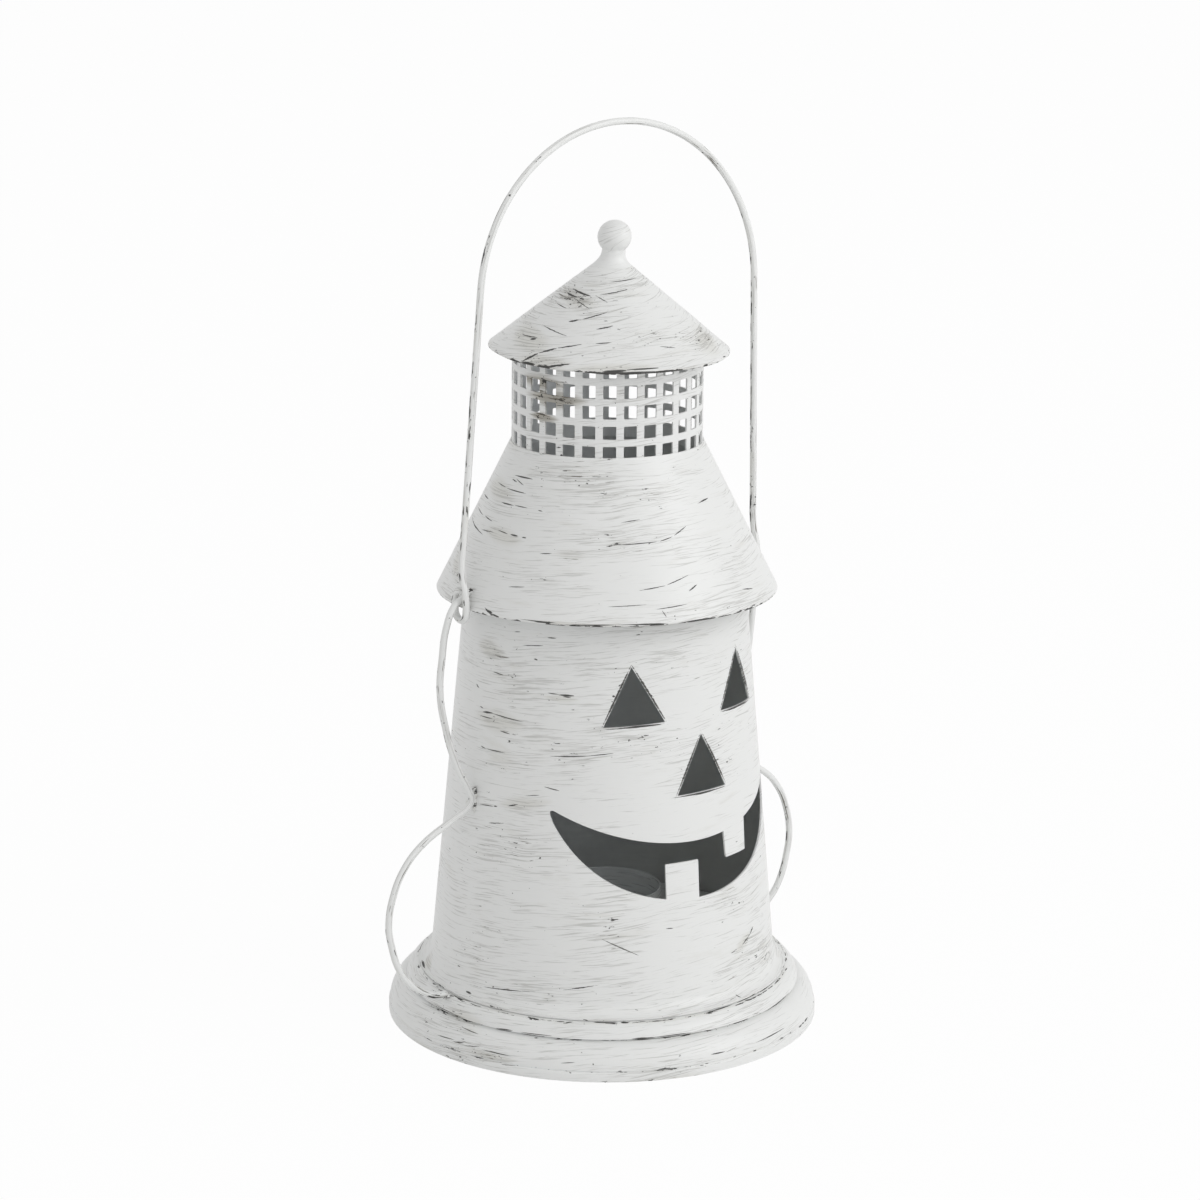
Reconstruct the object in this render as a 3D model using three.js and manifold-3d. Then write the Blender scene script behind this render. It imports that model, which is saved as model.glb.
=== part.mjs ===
// Pumpkin lantern: a sheet metal candle lantern with a cut-out face, a vent
// collar, a conical roof, two scroll handles and a wire bail.
// Millimetres, +Z up, the origin on the table under the middle of the base.
// The face looks toward -Y, and the scrolls and the bail's eyes lie at -X and +X.
import * as THREE from 'three';
import { mergeGeometries, mergeVertices } from 'three/addons/utils/BufferGeometryUtils.js';
import Module from 'manifold-3d';

const wasm = await Module();
wasm.setup();
const degrees = Math.PI / 180;

// Stock
const sheet = 0.8;
const baseSheet = 1;
const wireDiameter = 3;
const seatGap = 0.3;
const hemThickness = 1.6;
const hemHeight = 4;

// Faceting
const facets = 60;
const wireSides = 8;
const smallFacets = 24;

// Base: a spun pan with a rounded flange, a bead above it and a raised floor
const flangeRadius = 95;
const flangeRimHeight = 3.5;
const flangeHeight = 15.2;
const flangeShoulder = 9.4;
const grooveDepth = 1.2;
const grooveWidth = 1;
const beadRadius = 86.9;
const beadHeight = 22.3;
const beadWidth = 4.7;
const beadBulge = 0.6;
const floorHeight = 34;
const floorClearance = 0.9;

// Body: a cone rolled from sheet, flared at its foot
const bodyBottomRadius = 75.9;
const bodyTaper = 0.0889;
const footRadius = 81.4;
const footFlareHeight = 6.6;

// Face
const eyeWidth = 27;
const eyeHeight = 25.4;
const eyeBottom = 149.1;
const eyeAzimuth = 25.1;
const eyeTurn = 2.8;
const noseWidth = 26.8;
const noseHeight = 25.4;
const noseBottom = 117;
const noseAzimuth = 2.3;
const mouthAzimuth = -1;
const mouthHalfWidth = 68.2;
const mouthCornerHeight = 112;
const mouthCornerOpening = 1;
const upperLipHeight = 96.4;
const lowerLipHeight = 71.2;
const lowerLipFullness = 1.2;
const mouthSegments = 22;
const lowerToothAzimuth = -7.8;
const lowerToothWidth = 16;
const lowerToothTip = 87.9;
const upperToothAzimuth = 17.6;
const upperToothRootWidth = 16.2;
const upperToothTipWidth = 14.2;
const upperToothTip = 85.5;

// Hood: a cone that hangs out over the body
const hoodRimHeight = 195.6;
const hoodRimRadius = 74.3;
const hoodTopHeight = 258.9;
const hoodTopLip = 0.3;

// Vent collar, punched with rows of square holes
const collarRadius = 41.2;
const collarLap = 8;
const holeColumns = 30;
const holeRows = 5;
const holeSize = 5.4;
const holeRowPitch = 8.74;
const holeMargin = 0.45;
const collarTopMargin = 6.4;

// Roof, crooked on its collar, and its finial
const roofRimRadius = 52.5;
const roofPitch = 0.813;
const roofTilt = 1.34;
const roofTiltAzimuth = 53.5;
const roofNeckRadius = 8;
const roofNeckLip = 0.5;
const solderAzimuths = { front: 31, back: 211 };
const solderSpan = 30;
const solderDrop = 5.5;
const solderReach = 6;
const knobRadius = 7.3;
const knobHalfHeight = 5.9;
const finialNeckRadius = 5.7;
const finialNeckHeight = 7.4;
const finialSkirtRadius = 7.8;
const finialSkirtHeight = 1.4;
const finialSkirtSlope = 1.1;
const finialLean = 1.5;
const finialShift = 0.9;
const finialShankRadius = 2.5;
const finialShankLength = 7;
const nutAcrossFlats = 8;
const nutHeight = 3;

// Candle cup and its rivet
const cupRadius = 23.8;
const cupHeight = 22.2;
const cupWall = 0.6;
const seatRingInside = 5.8;
const seatRingOutside = 20.2;
const seatRingRise = 1.6;
const cupOffset = 1.9;
const cupOffsetAzimuth = 53.5;
const rivetRadius = 1.6;
const rivetHeadRadius = 3.4;
const rivetHeadHeight = 1.2;

// Bail, whose eyes hang on the upper ends of the scrolls
const pivotRise = 3.2;
const pivotHeight = hoodRimHeight + pivotRise;
const leftEyeClearance = 0.6;
const rightEyeShift = 4;
const eyeLoopRadius = 4.15;
const eyeLoopDrop = 4.8;
const legOffset = 1.5;
const archRadius = 74;
const archCentreHeight = 122.3;
const archShift = 9.8;
const archOffset = 0.8;
const archFacets = 18;
const bailLean = -2.5;

// How a leg bends over from the back of its loop to its own line: the share of the way, and the height
const legBend = [[0, 0], [0.2, 4], [0.7, 8], [1, 14]];

// Scrolls
const leftStubSlope = 0.7;
const rightStubSlope = 0.36;
const rightScrollDrift = 4.8;
const rightScrollSag = 3.4;

// How far out a scroll's end moves on the bead for each millimetre that it lies lower
const beadSlant = 1.1;
const upperBulge = 87.2;
const upperBulgeHeight = 160;
const waistHeight = 109;
const lowerBulge = 113.8;
const lowerBulgeHeight = 60;
const scrollStations = 52;

// The bends between those heights, as shares of each stretch's way out or in and of its way down
const swellBend = [[0.72, 0.32], [0.88, 0.6]];
const returnBend = [[0.18, 0.34], [0.52, 0.68], [0.92, 0.93]];
const loopBend = [[0.05, 0.07], [0.22, 0.15], [0.62, 0.34], [0.82, 0.52], [0.94, 0.73]];
const endBend = [[0.05, 0.27], [0.2, 0.6], [0.43, 0.82], [0.71, 0.96]];

const wireRadius = wireDiameter / 2;

// Materials
const whitePaint = new THREE.MeshStandardMaterial({ color: 0xdcdcd6, roughness: 0.55, metalness: 0.1 });
const darkPaint = new THREE.MeshStandardMaterial({ color: 0x70777a, roughness: 0.5, metalness: 0.4 });
const steel = new THREE.MeshStandardMaterial({ color: 0x8c8f90, roughness: 0.4, metalness: 0.8 });

// Solids
function toSolid(geometry) {
  const plain = geometry.clone();
  plain.deleteAttribute('normal');
  plain.deleteAttribute('uv');
  const merged = mergeVertices(plain, 1e-4);
  const corners = merged.index.array;
  const triangles = [];
  for (let i = 0; i < corners.length; i += 3) {
    const [a, b, c] = corners.slice(i, i + 3);
    if (a !== b && b !== c && c !== a) triangles.push(a, b, c);
  }
  return new wasm.Manifold(new wasm.Mesh({
    numProp: 3,
    vertProperties: Float32Array.from(merged.attributes.position.array),
    triVerts: Uint32Array.from(triangles),
  }));
}

function toGeometry(solid) {
  const mesh = solid.getMesh();
  const geometry = new THREE.BufferGeometry();
  geometry.setAttribute('position', new THREE.BufferAttribute(mesh.vertProperties, 3));
  geometry.setIndex(new THREE.BufferAttribute(mesh.triVerts, 1));
  geometry.computeVertexNormals();
  return geometry;
}

// Azimuth 0 points at the face, -Y, and 90 degrees points at +X.
function outward(azimuth, radius, height) {
  const angle = azimuth * degrees;
  return new THREE.Vector3(radius * Math.sin(angle), -radius * Math.cos(angle), height);
}

// Turned shapes: a profile is a list of [radius, height], listed either way round.
function turned(profile, segments = facets) {
  const points = profile.map(([radius, height]) => new THREE.Vector2(radius, height));
  if (THREE.ShapeUtils.area(points) < 0) points.reverse();
  return new THREE.LatheGeometry(points, segments).rotateX(Math.PI / 2);
}

function arcPoints(centre, radii, from, to, count) {
  const points = [];
  for (let i = 0; i <= count; i += 1) {
    const angle = (from + ((to - from) * i) / count) * degrees;
    const across = radii[0] * Math.cos(angle);
    const onAxis = Math.abs(across) < 1e-9;
    points.push([centre[0] + (onAxis ? 0 : across), centre[1] + radii[1] * Math.sin(angle)]);
  }
  return points;
}

// A skin follows the outer profile from top to bottom, and comes back one thickness inside it.
function skin(outer, thickness) {
  const inner = outer.map((point, i) => {
    const before = outer[Math.max(i - 1, 0)];
    const after = outer[Math.min(i + 1, outer.length - 1)];
    const first = unitNormal(before, point);
    const second = unitNormal(point, after);
    const normal = first ?? second;
    const other = second ?? first;
    const sum = [normal[0] + other[0], normal[1] + other[1]];
    const scale = (2 * thickness) / (sum[0] ** 2 + sum[1] ** 2);
    return [point[0] - sum[0] * scale, point[1] - sum[1] * scale];
  });
  return [...outer, ...inner.reverse(), outer[0]];
}

function unitNormal(from, to) {
  const run = [to[0] - from[0], to[1] - from[1]];
  const length = Math.hypot(...run);
  return length > 0 ? [-run[1] / length, run[0] / length] : null;
}

// Wires: one ring of the section at each station
class StationCurve extends THREE.Curve {
  constructor(stations) {
    super();
    this.stations = stations;
  }

  getPoint(t, target = new THREE.Vector3()) {
    const last = this.stations.length - 1;
    const place = Math.min(Math.max(t, 0), 1) * last;
    const index = Math.min(Math.floor(place), last - 1);
    return target.lerpVectors(this.stations[index], this.stations[index + 1], place - index);
  }

  getPointAt(u, target) {
    return this.getPoint(u, target);
  }

  getTangentAt(u, target) {
    return this.getTangent(u, target);
  }
}

function wire(stations) {
  const section = new THREE.Shape();
  for (let i = 0; i < wireSides; i += 1) {
    const angle = (2 * Math.PI * i) / wireSides;
    const place = [wireRadius * Math.cos(angle), wireRadius * Math.sin(angle)];
    if (i === 0) section.moveTo(...place);
    else section.lineTo(...place);
  }
  section.closePath();
  return new THREE.ExtrudeGeometry(section, {
    steps: stations.length - 1,
    extrudePath: new StationCurve(stations),
    bevelEnabled: false,
  });
}

// Where the cones meet
const seatHeight = beadHeight + seatGap;
const coneStart = seatHeight + footFlareHeight;
const hoodTopRadius = collarRadius + seatGap + hoodTopLip;
const hoodTaper = (hoodRimRadius - hoodTopRadius) / (hoodTopHeight - hoodRimHeight);
const hoodInset = sheet * Math.hypot(1, hoodTaper);
const hoodSeatInset = hoodInset + seatGap * Math.hypot(1, hoodTaper);

function bodyRadiusAt(height) {
  return bodyBottomRadius - bodyTaper * (height - coneStart);
}

function hoodRadiusAt(height) {
  return hoodRimRadius - hoodTaper * (height - hoodRimHeight);
}

// The body's top edge is the height at which its cone reaches the hood's inside.
const bodyTopHeight = (hoodRimRadius + hoodTaper * hoodRimHeight - hoodSeatInset - bodyBottomRadius
  - bodyTaper * coneStart) / (hoodTaper - bodyTaper);
const floorRadius = bodyRadiusAt(floorHeight) - sheet - floorClearance;

function basePan() {
  const shoulder = [flangeRadius - flangeShoulder, flangeRimHeight];
  const rise = flangeHeight - flangeRimHeight;
  const beadFoot = [beadRadius, flangeHeight + grooveWidth];
  const beadTop = [beadRadius - beadWidth, beadHeight - grooveWidth / 2];
  const beadMiddle = [
    (beadFoot[0] + beadTop[0]) / 2 + beadBulge,
    (beadFoot[1] + beadTop[1]) / 2 + beadBulge,
  ];
  const outer = [
    [0, floorHeight],
    [floorRadius - baseSheet, floorHeight],
    [floorRadius, floorHeight - baseSheet],
    [floorRadius, beadHeight],
    [beadTop[0] - grooveWidth, beadHeight],
    beadTop,
    beadMiddle,
    beadFoot,
    [beadRadius - grooveDepth, flangeHeight + grooveWidth / 2],
    ...arcPoints(shoulder, [flangeShoulder, rise], 75, 0, 5),
    [flangeRadius, 0],
  ];
  const closed = toSolid(turned(skin(outer, baseSheet)));
  const hole = new THREE.CylinderGeometry(
    rivetRadius + seatGap, rivetRadius + seatGap, 4 * baseSheet, smallFacets / 2,
  ).rotateX(Math.PI / 2);
  const place = outward(cupOffsetAzimuth, cupOffset, floorHeight);
  hole.translate(place.x, place.y, place.z);
  return toGeometry(closed.subtract(toSolid(hole)));
}

// Cutters for the face reach outward from the lantern's axis.
function faceCutter(outline, azimuth, height, turn = 0) {
  const shape = new THREE.Shape(outline.map(([x, y]) => new THREE.Vector2(x, y)));
  const prism = new THREE.ExtrudeGeometry(shape, { depth: 2 * footRadius, bevelEnabled: false });
  prism.rotateZ(turn * degrees);
  prism.rotateX(Math.PI / 2);
  prism.rotateZ(azimuth * degrees);
  prism.translate(0, 0, height);
  return toSolid(prism);
}

function triangle(width, height) {
  return [[-width / 2, 0], [width / 2, 0], [0, height]];
}

// Each lip is an arc through its middle and both corners of the mouth, and the lower
// one hangs a little lower than that halfway to each corner.
function lipHeight(across, middle, corner, fullness) {
  const rise = corner - middle;
  const radius = (mouthHalfWidth ** 2 + rise ** 2) / (2 * rise);
  const share = (across / mouthHalfWidth) ** 2;
  return middle + radius - Math.sqrt(radius ** 2 - across ** 2) - 4 * fullness * share * (1 - share);
}

function mouthCutter() {
  const slab = new THREE.BoxGeometry(1, 1, 1, mouthSegments, 1, 1);
  const spot = slab.attributes.position;
  const sheetRadius = bodyRadiusAt((upperLipHeight + lowerLipHeight) / 2);
  for (let i = 0; i < spot.count; i += 1) {
    const across = 2 * mouthHalfWidth * spot.getX(i);
    const height = spot.getY(i) > 0
      ? lipHeight(across, upperLipHeight, mouthCornerHeight + mouthCornerOpening / 2, 0)
      : lipHeight(across, lowerLipHeight, mouthCornerHeight - mouthCornerOpening / 2, lowerLipFullness);
    const radius = sheetRadius * (spot.getZ(i) > 0 ? 1.1 : 0.5);
    const place = outward(mouthAzimuth + across / sheetRadius / degrees, radius, height);
    spot.setXYZ(i, place.x, place.y, place.z);
  }
  const lower = lowerToothWidth / 2;
  const upperRoot = upperToothRootWidth / 2;
  const upperTip = upperToothTipWidth / 2;
  const lowerRise = lowerToothTip - lowerLipHeight;
  const upperDrop = upperLipHeight - upperToothTip;
  const lowerTooth = [[-lower, -lowerRise], [lower, -lowerRise], [lower, lowerRise], [-lower, lowerRise]];
  const upperTooth = [[-upperTip, 0], [upperTip, 0], [upperRoot, 2 * upperDrop], [-upperRoot, 2 * upperDrop]];
  return toSolid(slab)
    .subtract(faceCutter(lowerTooth, lowerToothAzimuth, lowerLipHeight))
    .subtract(faceCutter(upperTooth, upperToothAzimuth, upperToothTip));
}

function bodyShell() {
  const flare = arcPoints(
    [footRadius, coneStart], [footRadius - bodyBottomRadius, footFlareHeight - sheet], 180, 270, 4,
  );
  const outer = [[bodyRadiusAt(bodyTopHeight), bodyTopHeight], ...flare, [footRadius, seatHeight]];
  const inner = [
    [footRadius - 2 * sheet, seatHeight],
    ...flare.slice(1, -1).reverse().map(([radius, height]) => [radius - sheet, height - sheet / 2]),
    [bodyRadiusAt(coneStart) - sheet, coneStart],
    [bodyRadiusAt(bodyTopHeight) - sheet, bodyTopHeight],
  ];
  const eye = triangle(eyeWidth, eyeHeight);
  const shell = toSolid(turned([...outer, ...inner, outer[0]]))
    .subtract(faceCutter(eye, -eyeAzimuth, eyeBottom, eyeTurn))
    .subtract(faceCutter(eye, eyeAzimuth, eyeBottom, -eyeTurn))
    .subtract(faceCutter(triangle(noseWidth, noseHeight), noseAzimuth, noseBottom))
    .subtract(mouthCutter());
  return toGeometry(shell);
}

function shoulderHood() {
  const rimRound = hemThickness / 2;
  const hemTop = hoodRimHeight + hemHeight;
  const hemInset = hemThickness * Math.hypot(1, hoodTaper);
  return turned([
    [hoodTopRadius, hoodTopHeight],
    [hoodRimRadius, hoodRimHeight + rimRound],
    [hoodRimRadius - rimRound / 2, hoodRimHeight],
    [hoodRimRadius - hemInset, hoodRimHeight],
    [hoodRadiusAt(hemTop) - hemInset, hemTop],
    [hoodRadiusAt(hemTop) - hoodInset, hemTop + sheet / 2],
    [collarRadius + seatGap, hoodTopHeight - (hoodInset - hoodTopLip) / hoodTaper],
    [collarRadius + seatGap, hoodTopHeight],
    [hoodTopRadius, hoodTopHeight],
  ]);
}

const collarBottom = hoodTopHeight - collarLap;
const firstHoleHeight = hoodTopHeight + holeMargin + holeSize / 2;
const collarTop = firstHoleHeight + (holeRows - 1) * holeRowPitch + holeSize / 2 + collarTopMargin;

function ventCollar() {
  const tube = turned([
    [collarRadius, collarTop],
    [collarRadius, collarBottom],
    [collarRadius - sheet, collarBottom],
    [collarRadius - sheet, collarTop],
    [collarRadius, collarTop],
  ]);
  const punches = [];
  for (let column = 0; column < holeColumns; column += 1) {
    const azimuth = (column * 360) / holeColumns;
    for (let row = 0; row < holeRows; row += 1) {
      const punch = new THREE.BoxGeometry(holeSize, 8 * sheet, holeSize);
      const place = outward(azimuth, collarRadius, firstHoleHeight + row * holeRowPitch);
      punch.rotateZ(azimuth * degrees);
      punch.translate(place.x, place.y, place.z);
      punches.push(punch);
    }
  }
  return toGeometry(toSolid(tube).subtract(toSolid(mergeGeometries(punches))));
}

// The roof's heights are measured from the collar's top edge, about which it is tilted.
const roofRise = seatGap * Math.hypot(1, roofPitch) + collarRadius * Math.sin(roofTilt * degrees);
const roofThickness = sheet * Math.hypot(1, roofPitch);

function roofUnderside(radius) {
  return roofRise + (collarRadius - radius) * roofPitch;
}

const neckHeight = roofUnderside(roofNeckRadius) + roofThickness + roofNeckLip;

function roofCap() {
  const rimRound = hemThickness / 2;
  const hemReach = roofRimRadius - hemHeight;
  const shaft = finialShankRadius + seatGap;
  return turned([
    [shaft, neckHeight],
    [roofNeckRadius, neckHeight],
    [roofNeckRadius + roofNeckLip, roofUnderside(roofNeckRadius + roofNeckLip) + roofThickness],
    [roofRimRadius - rimRound / 2, roofUnderside(roofRimRadius) + roofThickness],
    [roofRimRadius, roofUnderside(roofRimRadius) + roofThickness / 2],
    [roofRimRadius - rimRound / 2, roofUnderside(roofRimRadius) - sheet],
    [hemReach, roofUnderside(hemReach) - sheet],
    [hemReach - sheet / 2, roofUnderside(hemReach - sheet / 2)],
    [roofNeckRadius, roofUnderside(roofNeckRadius)],
    [roofNeckRadius - sheet, neckHeight - sheet],
    [shaft, neckHeight - sheet],
    [shaft, neckHeight],
  ]);
}

// Solder runs in the corner between the collar and the underside of the roof.
function roofSolder(azimuth) {
  const inside = collarRadius + 2 * seatGap;
  const outside = inside + solderReach;
  const drop = seatGap + sheet;
  const run = turned([
    [inside, roofUnderside(inside) - drop],
    [inside, roofUnderside(inside) - drop - solderDrop],
    [inside + sheet, roofUnderside(inside) - drop - solderDrop],
    [inside + solderReach / 3, roofUnderside(inside) - drop - solderDrop / 2],
    [outside, roofUnderside(outside) - drop],
    [inside, roofUnderside(inside) - drop],
  ]);
  const half = Math.tan((solderSpan / 2) * degrees) * roofRimRadius;
  const sector = new THREE.Shape();
  sector.moveTo(0, 0);
  sector.lineTo(-half, -roofRimRadius);
  sector.lineTo(half, -roofRimRadius);
  sector.closePath();
  const wedge = new THREE.ExtrudeGeometry(sector, { depth: 4 * solderDrop, bevelEnabled: false });
  wedge.translate(0, 0, -3 * solderDrop);
  wedge.rotateZ(azimuth * degrees);
  return toGeometry(toSolid(run).intersect(toSolid(wedge)));
}

function finial() {
  const seat = neckHeight + seatGap;
  const neckJoin = Math.asin(finialNeckRadius / knobRadius) / degrees;
  const knobHeight = finialNeckHeight + knobHalfHeight * Math.cos(neckJoin * degrees);
  const knob = arcPoints([0, knobHeight], [knobRadius, knobHalfHeight], 90, neckJoin - 90, 8);
  const skirtRise = (finialSkirtRadius - finialNeckRadius) / finialSkirtSlope;
  const leaning = turned([
    ...knob,
    [finialNeckRadius, finialSkirtHeight + skirtRise],
    [finialSkirtRadius, finialSkirtHeight],
    [finialSkirtRadius, -sheet],
    [0, -sheet],
  ], smallFacets);
  leaning.translate(finialShift, 0, 0);
  leaning.rotateY(finialLean * degrees);
  leaning.rotateZ((roofTiltAzimuth - 90) * degrees);
  leaning.translate(0, 0, seat);
  const below = new THREE.BoxGeometry(4 * finialSkirtRadius, 4 * finialSkirtRadius, 4 * sheet);
  below.translate(0, 0, seat - 2 * sheet);
  const shank = new THREE.CylinderGeometry(
    finialShankRadius, finialShankRadius, finialShankLength + seatGap + sheet, smallFacets / 2,
  ).rotateX(Math.PI / 2);
  shank.translate(0, 0, seat + sheet - (finialShankLength + seatGap + sheet) / 2);
  return toGeometry(toSolid(leaning).subtract(toSolid(below)).add(toSolid(shank)));
}

function finialNut() {
  const corner = nutAcrossFlats / 2 / Math.cos(Math.PI / 6);
  const block = new THREE.CylinderGeometry(corner, corner, nutHeight, 6).rotateX(Math.PI / 2);
  const bore = new THREE.CylinderGeometry(
    finialShankRadius + seatGap, finialShankRadius + seatGap, 2 * nutHeight, smallFacets / 2,
  ).rotateX(Math.PI / 2);
  const geometry = toGeometry(toSolid(block).subtract(toSolid(bore)));
  return geometry.translate(0, 0, neckHeight - sheet - seatGap - nutHeight / 2);
}

// The cup's floor is pressed up into a ring that the candle stands on, clear of the rivet.
function candleCup() {
  const hole = rivetRadius + seatGap;
  const inside = seatRingInside - seatRingRise / 2;
  const outside = seatRingOutside + seatRingRise / 2;
  return turned([
    [cupRadius, cupHeight],
    [cupRadius, cupWall],
    [cupRadius - cupWall, 0],
    [outside - cupWall / 2, 0],
    [seatRingOutside - cupWall / 2, seatRingRise],
    [seatRingInside + cupWall / 2, seatRingRise],
    [inside + cupWall / 2, 0],
    [hole, 0],
    [hole, cupWall],
    [inside, cupWall],
    [seatRingInside, seatRingRise + cupWall],
    [seatRingOutside, seatRingRise + cupWall],
    [outside, cupWall],
    [cupRadius - cupWall, cupWall],
    [cupRadius - cupWall, cupHeight],
    [cupRadius, cupHeight],
  ], 2 * smallFacets);
}

// The rivet's heights are measured from the cup's underside.
function cupRivet() {
  const headSeat = cupWall + seatGap;
  const tailSeat = -2 * seatGap - baseSheet;
  return turned([
    ...arcPoints([0, headSeat], [rivetHeadRadius, rivetHeadHeight], 90, 0, 3),
    [rivetRadius, headSeat],
    [rivetRadius, tailSeat],
    ...arcPoints([0, tailSeat], [rivetHeadRadius, rivetHeadHeight], 0, -90, 3),
  ], smallFacets / 2);
}

// The bail is drawn in the plane of its arch, about the middle of its pivot line.
const leftEyeReach = hoodRimRadius + wireRadius + leftEyeClearance;
const rightEyeReach = leftEyeReach + rightEyeShift;

// An eye: round the stub, down, under it, up again, and on into the leg
function eyeStations(reach) {
  const stations = [];
  const loop = (from, to, centre, count) => {
    for (let i = 0; i <= count; i += 1) {
      const angle = (from + ((to - from) * i) / count) * degrees;
      const y = eyeLoopRadius * Math.cos(angle);
      stations.push(new THREE.Vector3(reach, y, centre + eyeLoopRadius * Math.sin(angle)));
    }
  };
  loop(86, 0, 0, 3);
  loop(0, -180, -eyeLoopDrop, 6);
  for (const [share, height] of legBend) {
    stations.push(new THREE.Vector3(reach, -THREE.MathUtils.lerp(eyeLoopRadius, legOffset, share), height));
  }
  return stations;
}

// Where the straight line from a point touches the arch, as an angle on the arch
function tangentAngle(from, centre, side) {
  const run = [from[0] - centre[0], from[1] - centre[1]];
  const opening = Math.acos(archRadius / Math.hypot(...run));
  return Math.atan2(run[1], run[0]) + side * opening;
}

function bail() {
  const legFoot = legBend.at(-1)[1];
  const centre = [archShift, archCentreHeight];
  const start = tangentAngle([-leftEyeReach, legFoot], centre, -1) + 2 * Math.PI;
  const end = tangentAngle([rightEyeReach, legFoot], centre, 1);
  const arch = [];
  for (let i = 0; i <= archFacets; i += 1) {
    const angle = start + ((end - start) * i) / archFacets;
    arch.push(new THREE.Vector3(
      centre[0] + archRadius * Math.cos(angle),
      -archOffset,
      centre[1] + archRadius * Math.sin(angle),
    ));
  }
  const geometry = wire([
    ...eyeStations(-leftEyeReach),
    ...arch,
    ...eyeStations(rightEyeReach).reverse(),
  ]);
  return geometry.rotateX(bailLean * degrees).translate(0, 0, pivotHeight);
}

function stretch(from, to, bends) {
  const between = bends.map(([across, down]) => [
    from[0] + (to[0] - from[0]) * across,
    from[1] + (to[1] - from[1]) * down,
  ]);
  return [...between, to];
}

// A scroll starts on the hood, passes through the bail's eye, swells out, comes back
// to the body at its waist, swells out further and ends on the base's bead.
// The sag is how much lower its waist, its loop and its end lie.
function scroll(side, eyeReach, stubSlope, drift, sag) {
  const stubHeight = (reach) => pivotHeight + (eyeReach - reach) * stubSlope;
  const wireSeat = wireRadius + seatGap;
  let stubReach = eyeReach - wireDiameter;
  while (hoodRadiusAt(stubHeight(stubReach)) + wireSeat < stubReach) stubReach -= 0.1;
  const eyeOutside = [eyeReach + wireDiameter, stubHeight(eyeReach + wireDiameter)];
  const swell = [upperBulge, upperBulgeHeight];
  const waist = [bodyRadiusAt(waistHeight - sag) + wireSeat, waistHeight - sag];
  const loop = [lowerBulge, lowerBulgeHeight - sag];
  const end = [footRadius + wireRadius + sag * beadSlant, beadHeight + wireSeat - sag];
  const route = [
    [stubReach, stubHeight(stubReach)],
    [eyeReach, pivotHeight],
    eyeOutside,
    ...stretch([eyeReach, pivotHeight], swell, swellBend),
    ...stretch(swell, waist, returnBend),
    ...stretch(waist, loop, loopBend),
    ...stretch(loop, end, endBend),
  ];
  const bent = route.map(([reach, height]) => {
    const turn = THREE.MathUtils.smoothstep(pivotHeight - height, 0, pivotHeight - upperBulgeHeight);
    return outward(side * (90 + drift * turn), reach, height);
  });
  return wire(new THREE.CatmullRomCurve3(bent, false, 'centripetal').getPoints(scrollStations));
}

// Assembly
const lantern = new THREE.Group();

function addPiece(name, geometry, material, parent = lantern) {
  const mesh = new THREE.Mesh(geometry, material);
  mesh.name = name;
  parent.add(mesh);
  return mesh;
}

addPiece('base_pan', basePan(), whitePaint);
addPiece('body_shell', bodyShell(), whitePaint);
addPiece('shoulder_hood', shoulderHood(), whitePaint);
addPiece('vent_collar', ventCollar(), whitePaint);

const cupPlace = outward(cupOffsetAzimuth, cupOffset, floorHeight + seatGap);
addPiece('candle_cup', candleCup(), darkPaint).position.copy(cupPlace);
addPiece('cup_rivet', cupRivet(), steel).position.copy(cupPlace);

const roof = new THREE.Group();
roof.position.set(0, 0, collarTop);
roof.rotateOnAxis(outward(roofTiltAzimuth + 90, 1, 0), roofTilt * degrees);
lantern.add(roof);
addPiece('roof_cap', roofCap(), whitePaint, roof);
for (const [place, azimuth] of Object.entries(solderAzimuths)) {
  addPiece(`roof_solder_${place}`, roofSolder(azimuth), whitePaint, roof);
}
addPiece('finial', finial(), whitePaint, roof);
addPiece('finial_nut', finialNut(), steel, roof);

addPiece('bail_handle', bail(), whitePaint);
addPiece('left_scroll', scroll(-1, leftEyeReach, leftStubSlope, 0, 0), whitePaint);
const rightScroll = scroll(1, rightEyeReach, rightStubSlope, rightScrollDrift, rightScrollSag);
addPiece('right_scroll', rightScroll, whitePaint);

export default lantern;
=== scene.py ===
# Pumpkin lantern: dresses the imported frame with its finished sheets, wires and worn paint.
import bpy
import math
from mathutils import Matrix, Vector


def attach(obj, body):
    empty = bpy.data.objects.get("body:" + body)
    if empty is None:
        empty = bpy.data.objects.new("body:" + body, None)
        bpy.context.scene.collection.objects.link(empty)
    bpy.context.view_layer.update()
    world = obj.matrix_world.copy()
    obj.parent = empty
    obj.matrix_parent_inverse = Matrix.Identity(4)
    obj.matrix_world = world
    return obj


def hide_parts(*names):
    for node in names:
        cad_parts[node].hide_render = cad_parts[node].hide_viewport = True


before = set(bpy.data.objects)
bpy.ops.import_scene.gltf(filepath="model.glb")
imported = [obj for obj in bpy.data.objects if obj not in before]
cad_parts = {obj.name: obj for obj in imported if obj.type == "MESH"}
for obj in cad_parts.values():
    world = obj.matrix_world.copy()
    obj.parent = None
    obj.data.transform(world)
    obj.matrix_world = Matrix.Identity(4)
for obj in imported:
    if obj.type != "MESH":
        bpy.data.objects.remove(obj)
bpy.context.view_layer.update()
print("frame loaded")

mm = .001


# Modelling helpers

def outward(azimuth, radius, height):
    # azimuth 0 is the middle of the face, -Y, and 90 degrees is +X
    angle = math.radians(azimuth)
    return Vector((radius * math.sin(angle), -radius * math.cos(angle), height)) * mm


def arcPoints(centre, radii, start, end, count):
    points = []
    for step in range(count + 1):
        angle = math.radians(start + (end - start) * step / count)
        points.append((centre[0] + radii[0] * math.cos(angle), centre[1] + radii[1] * math.sin(angle)))
    return points


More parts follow.
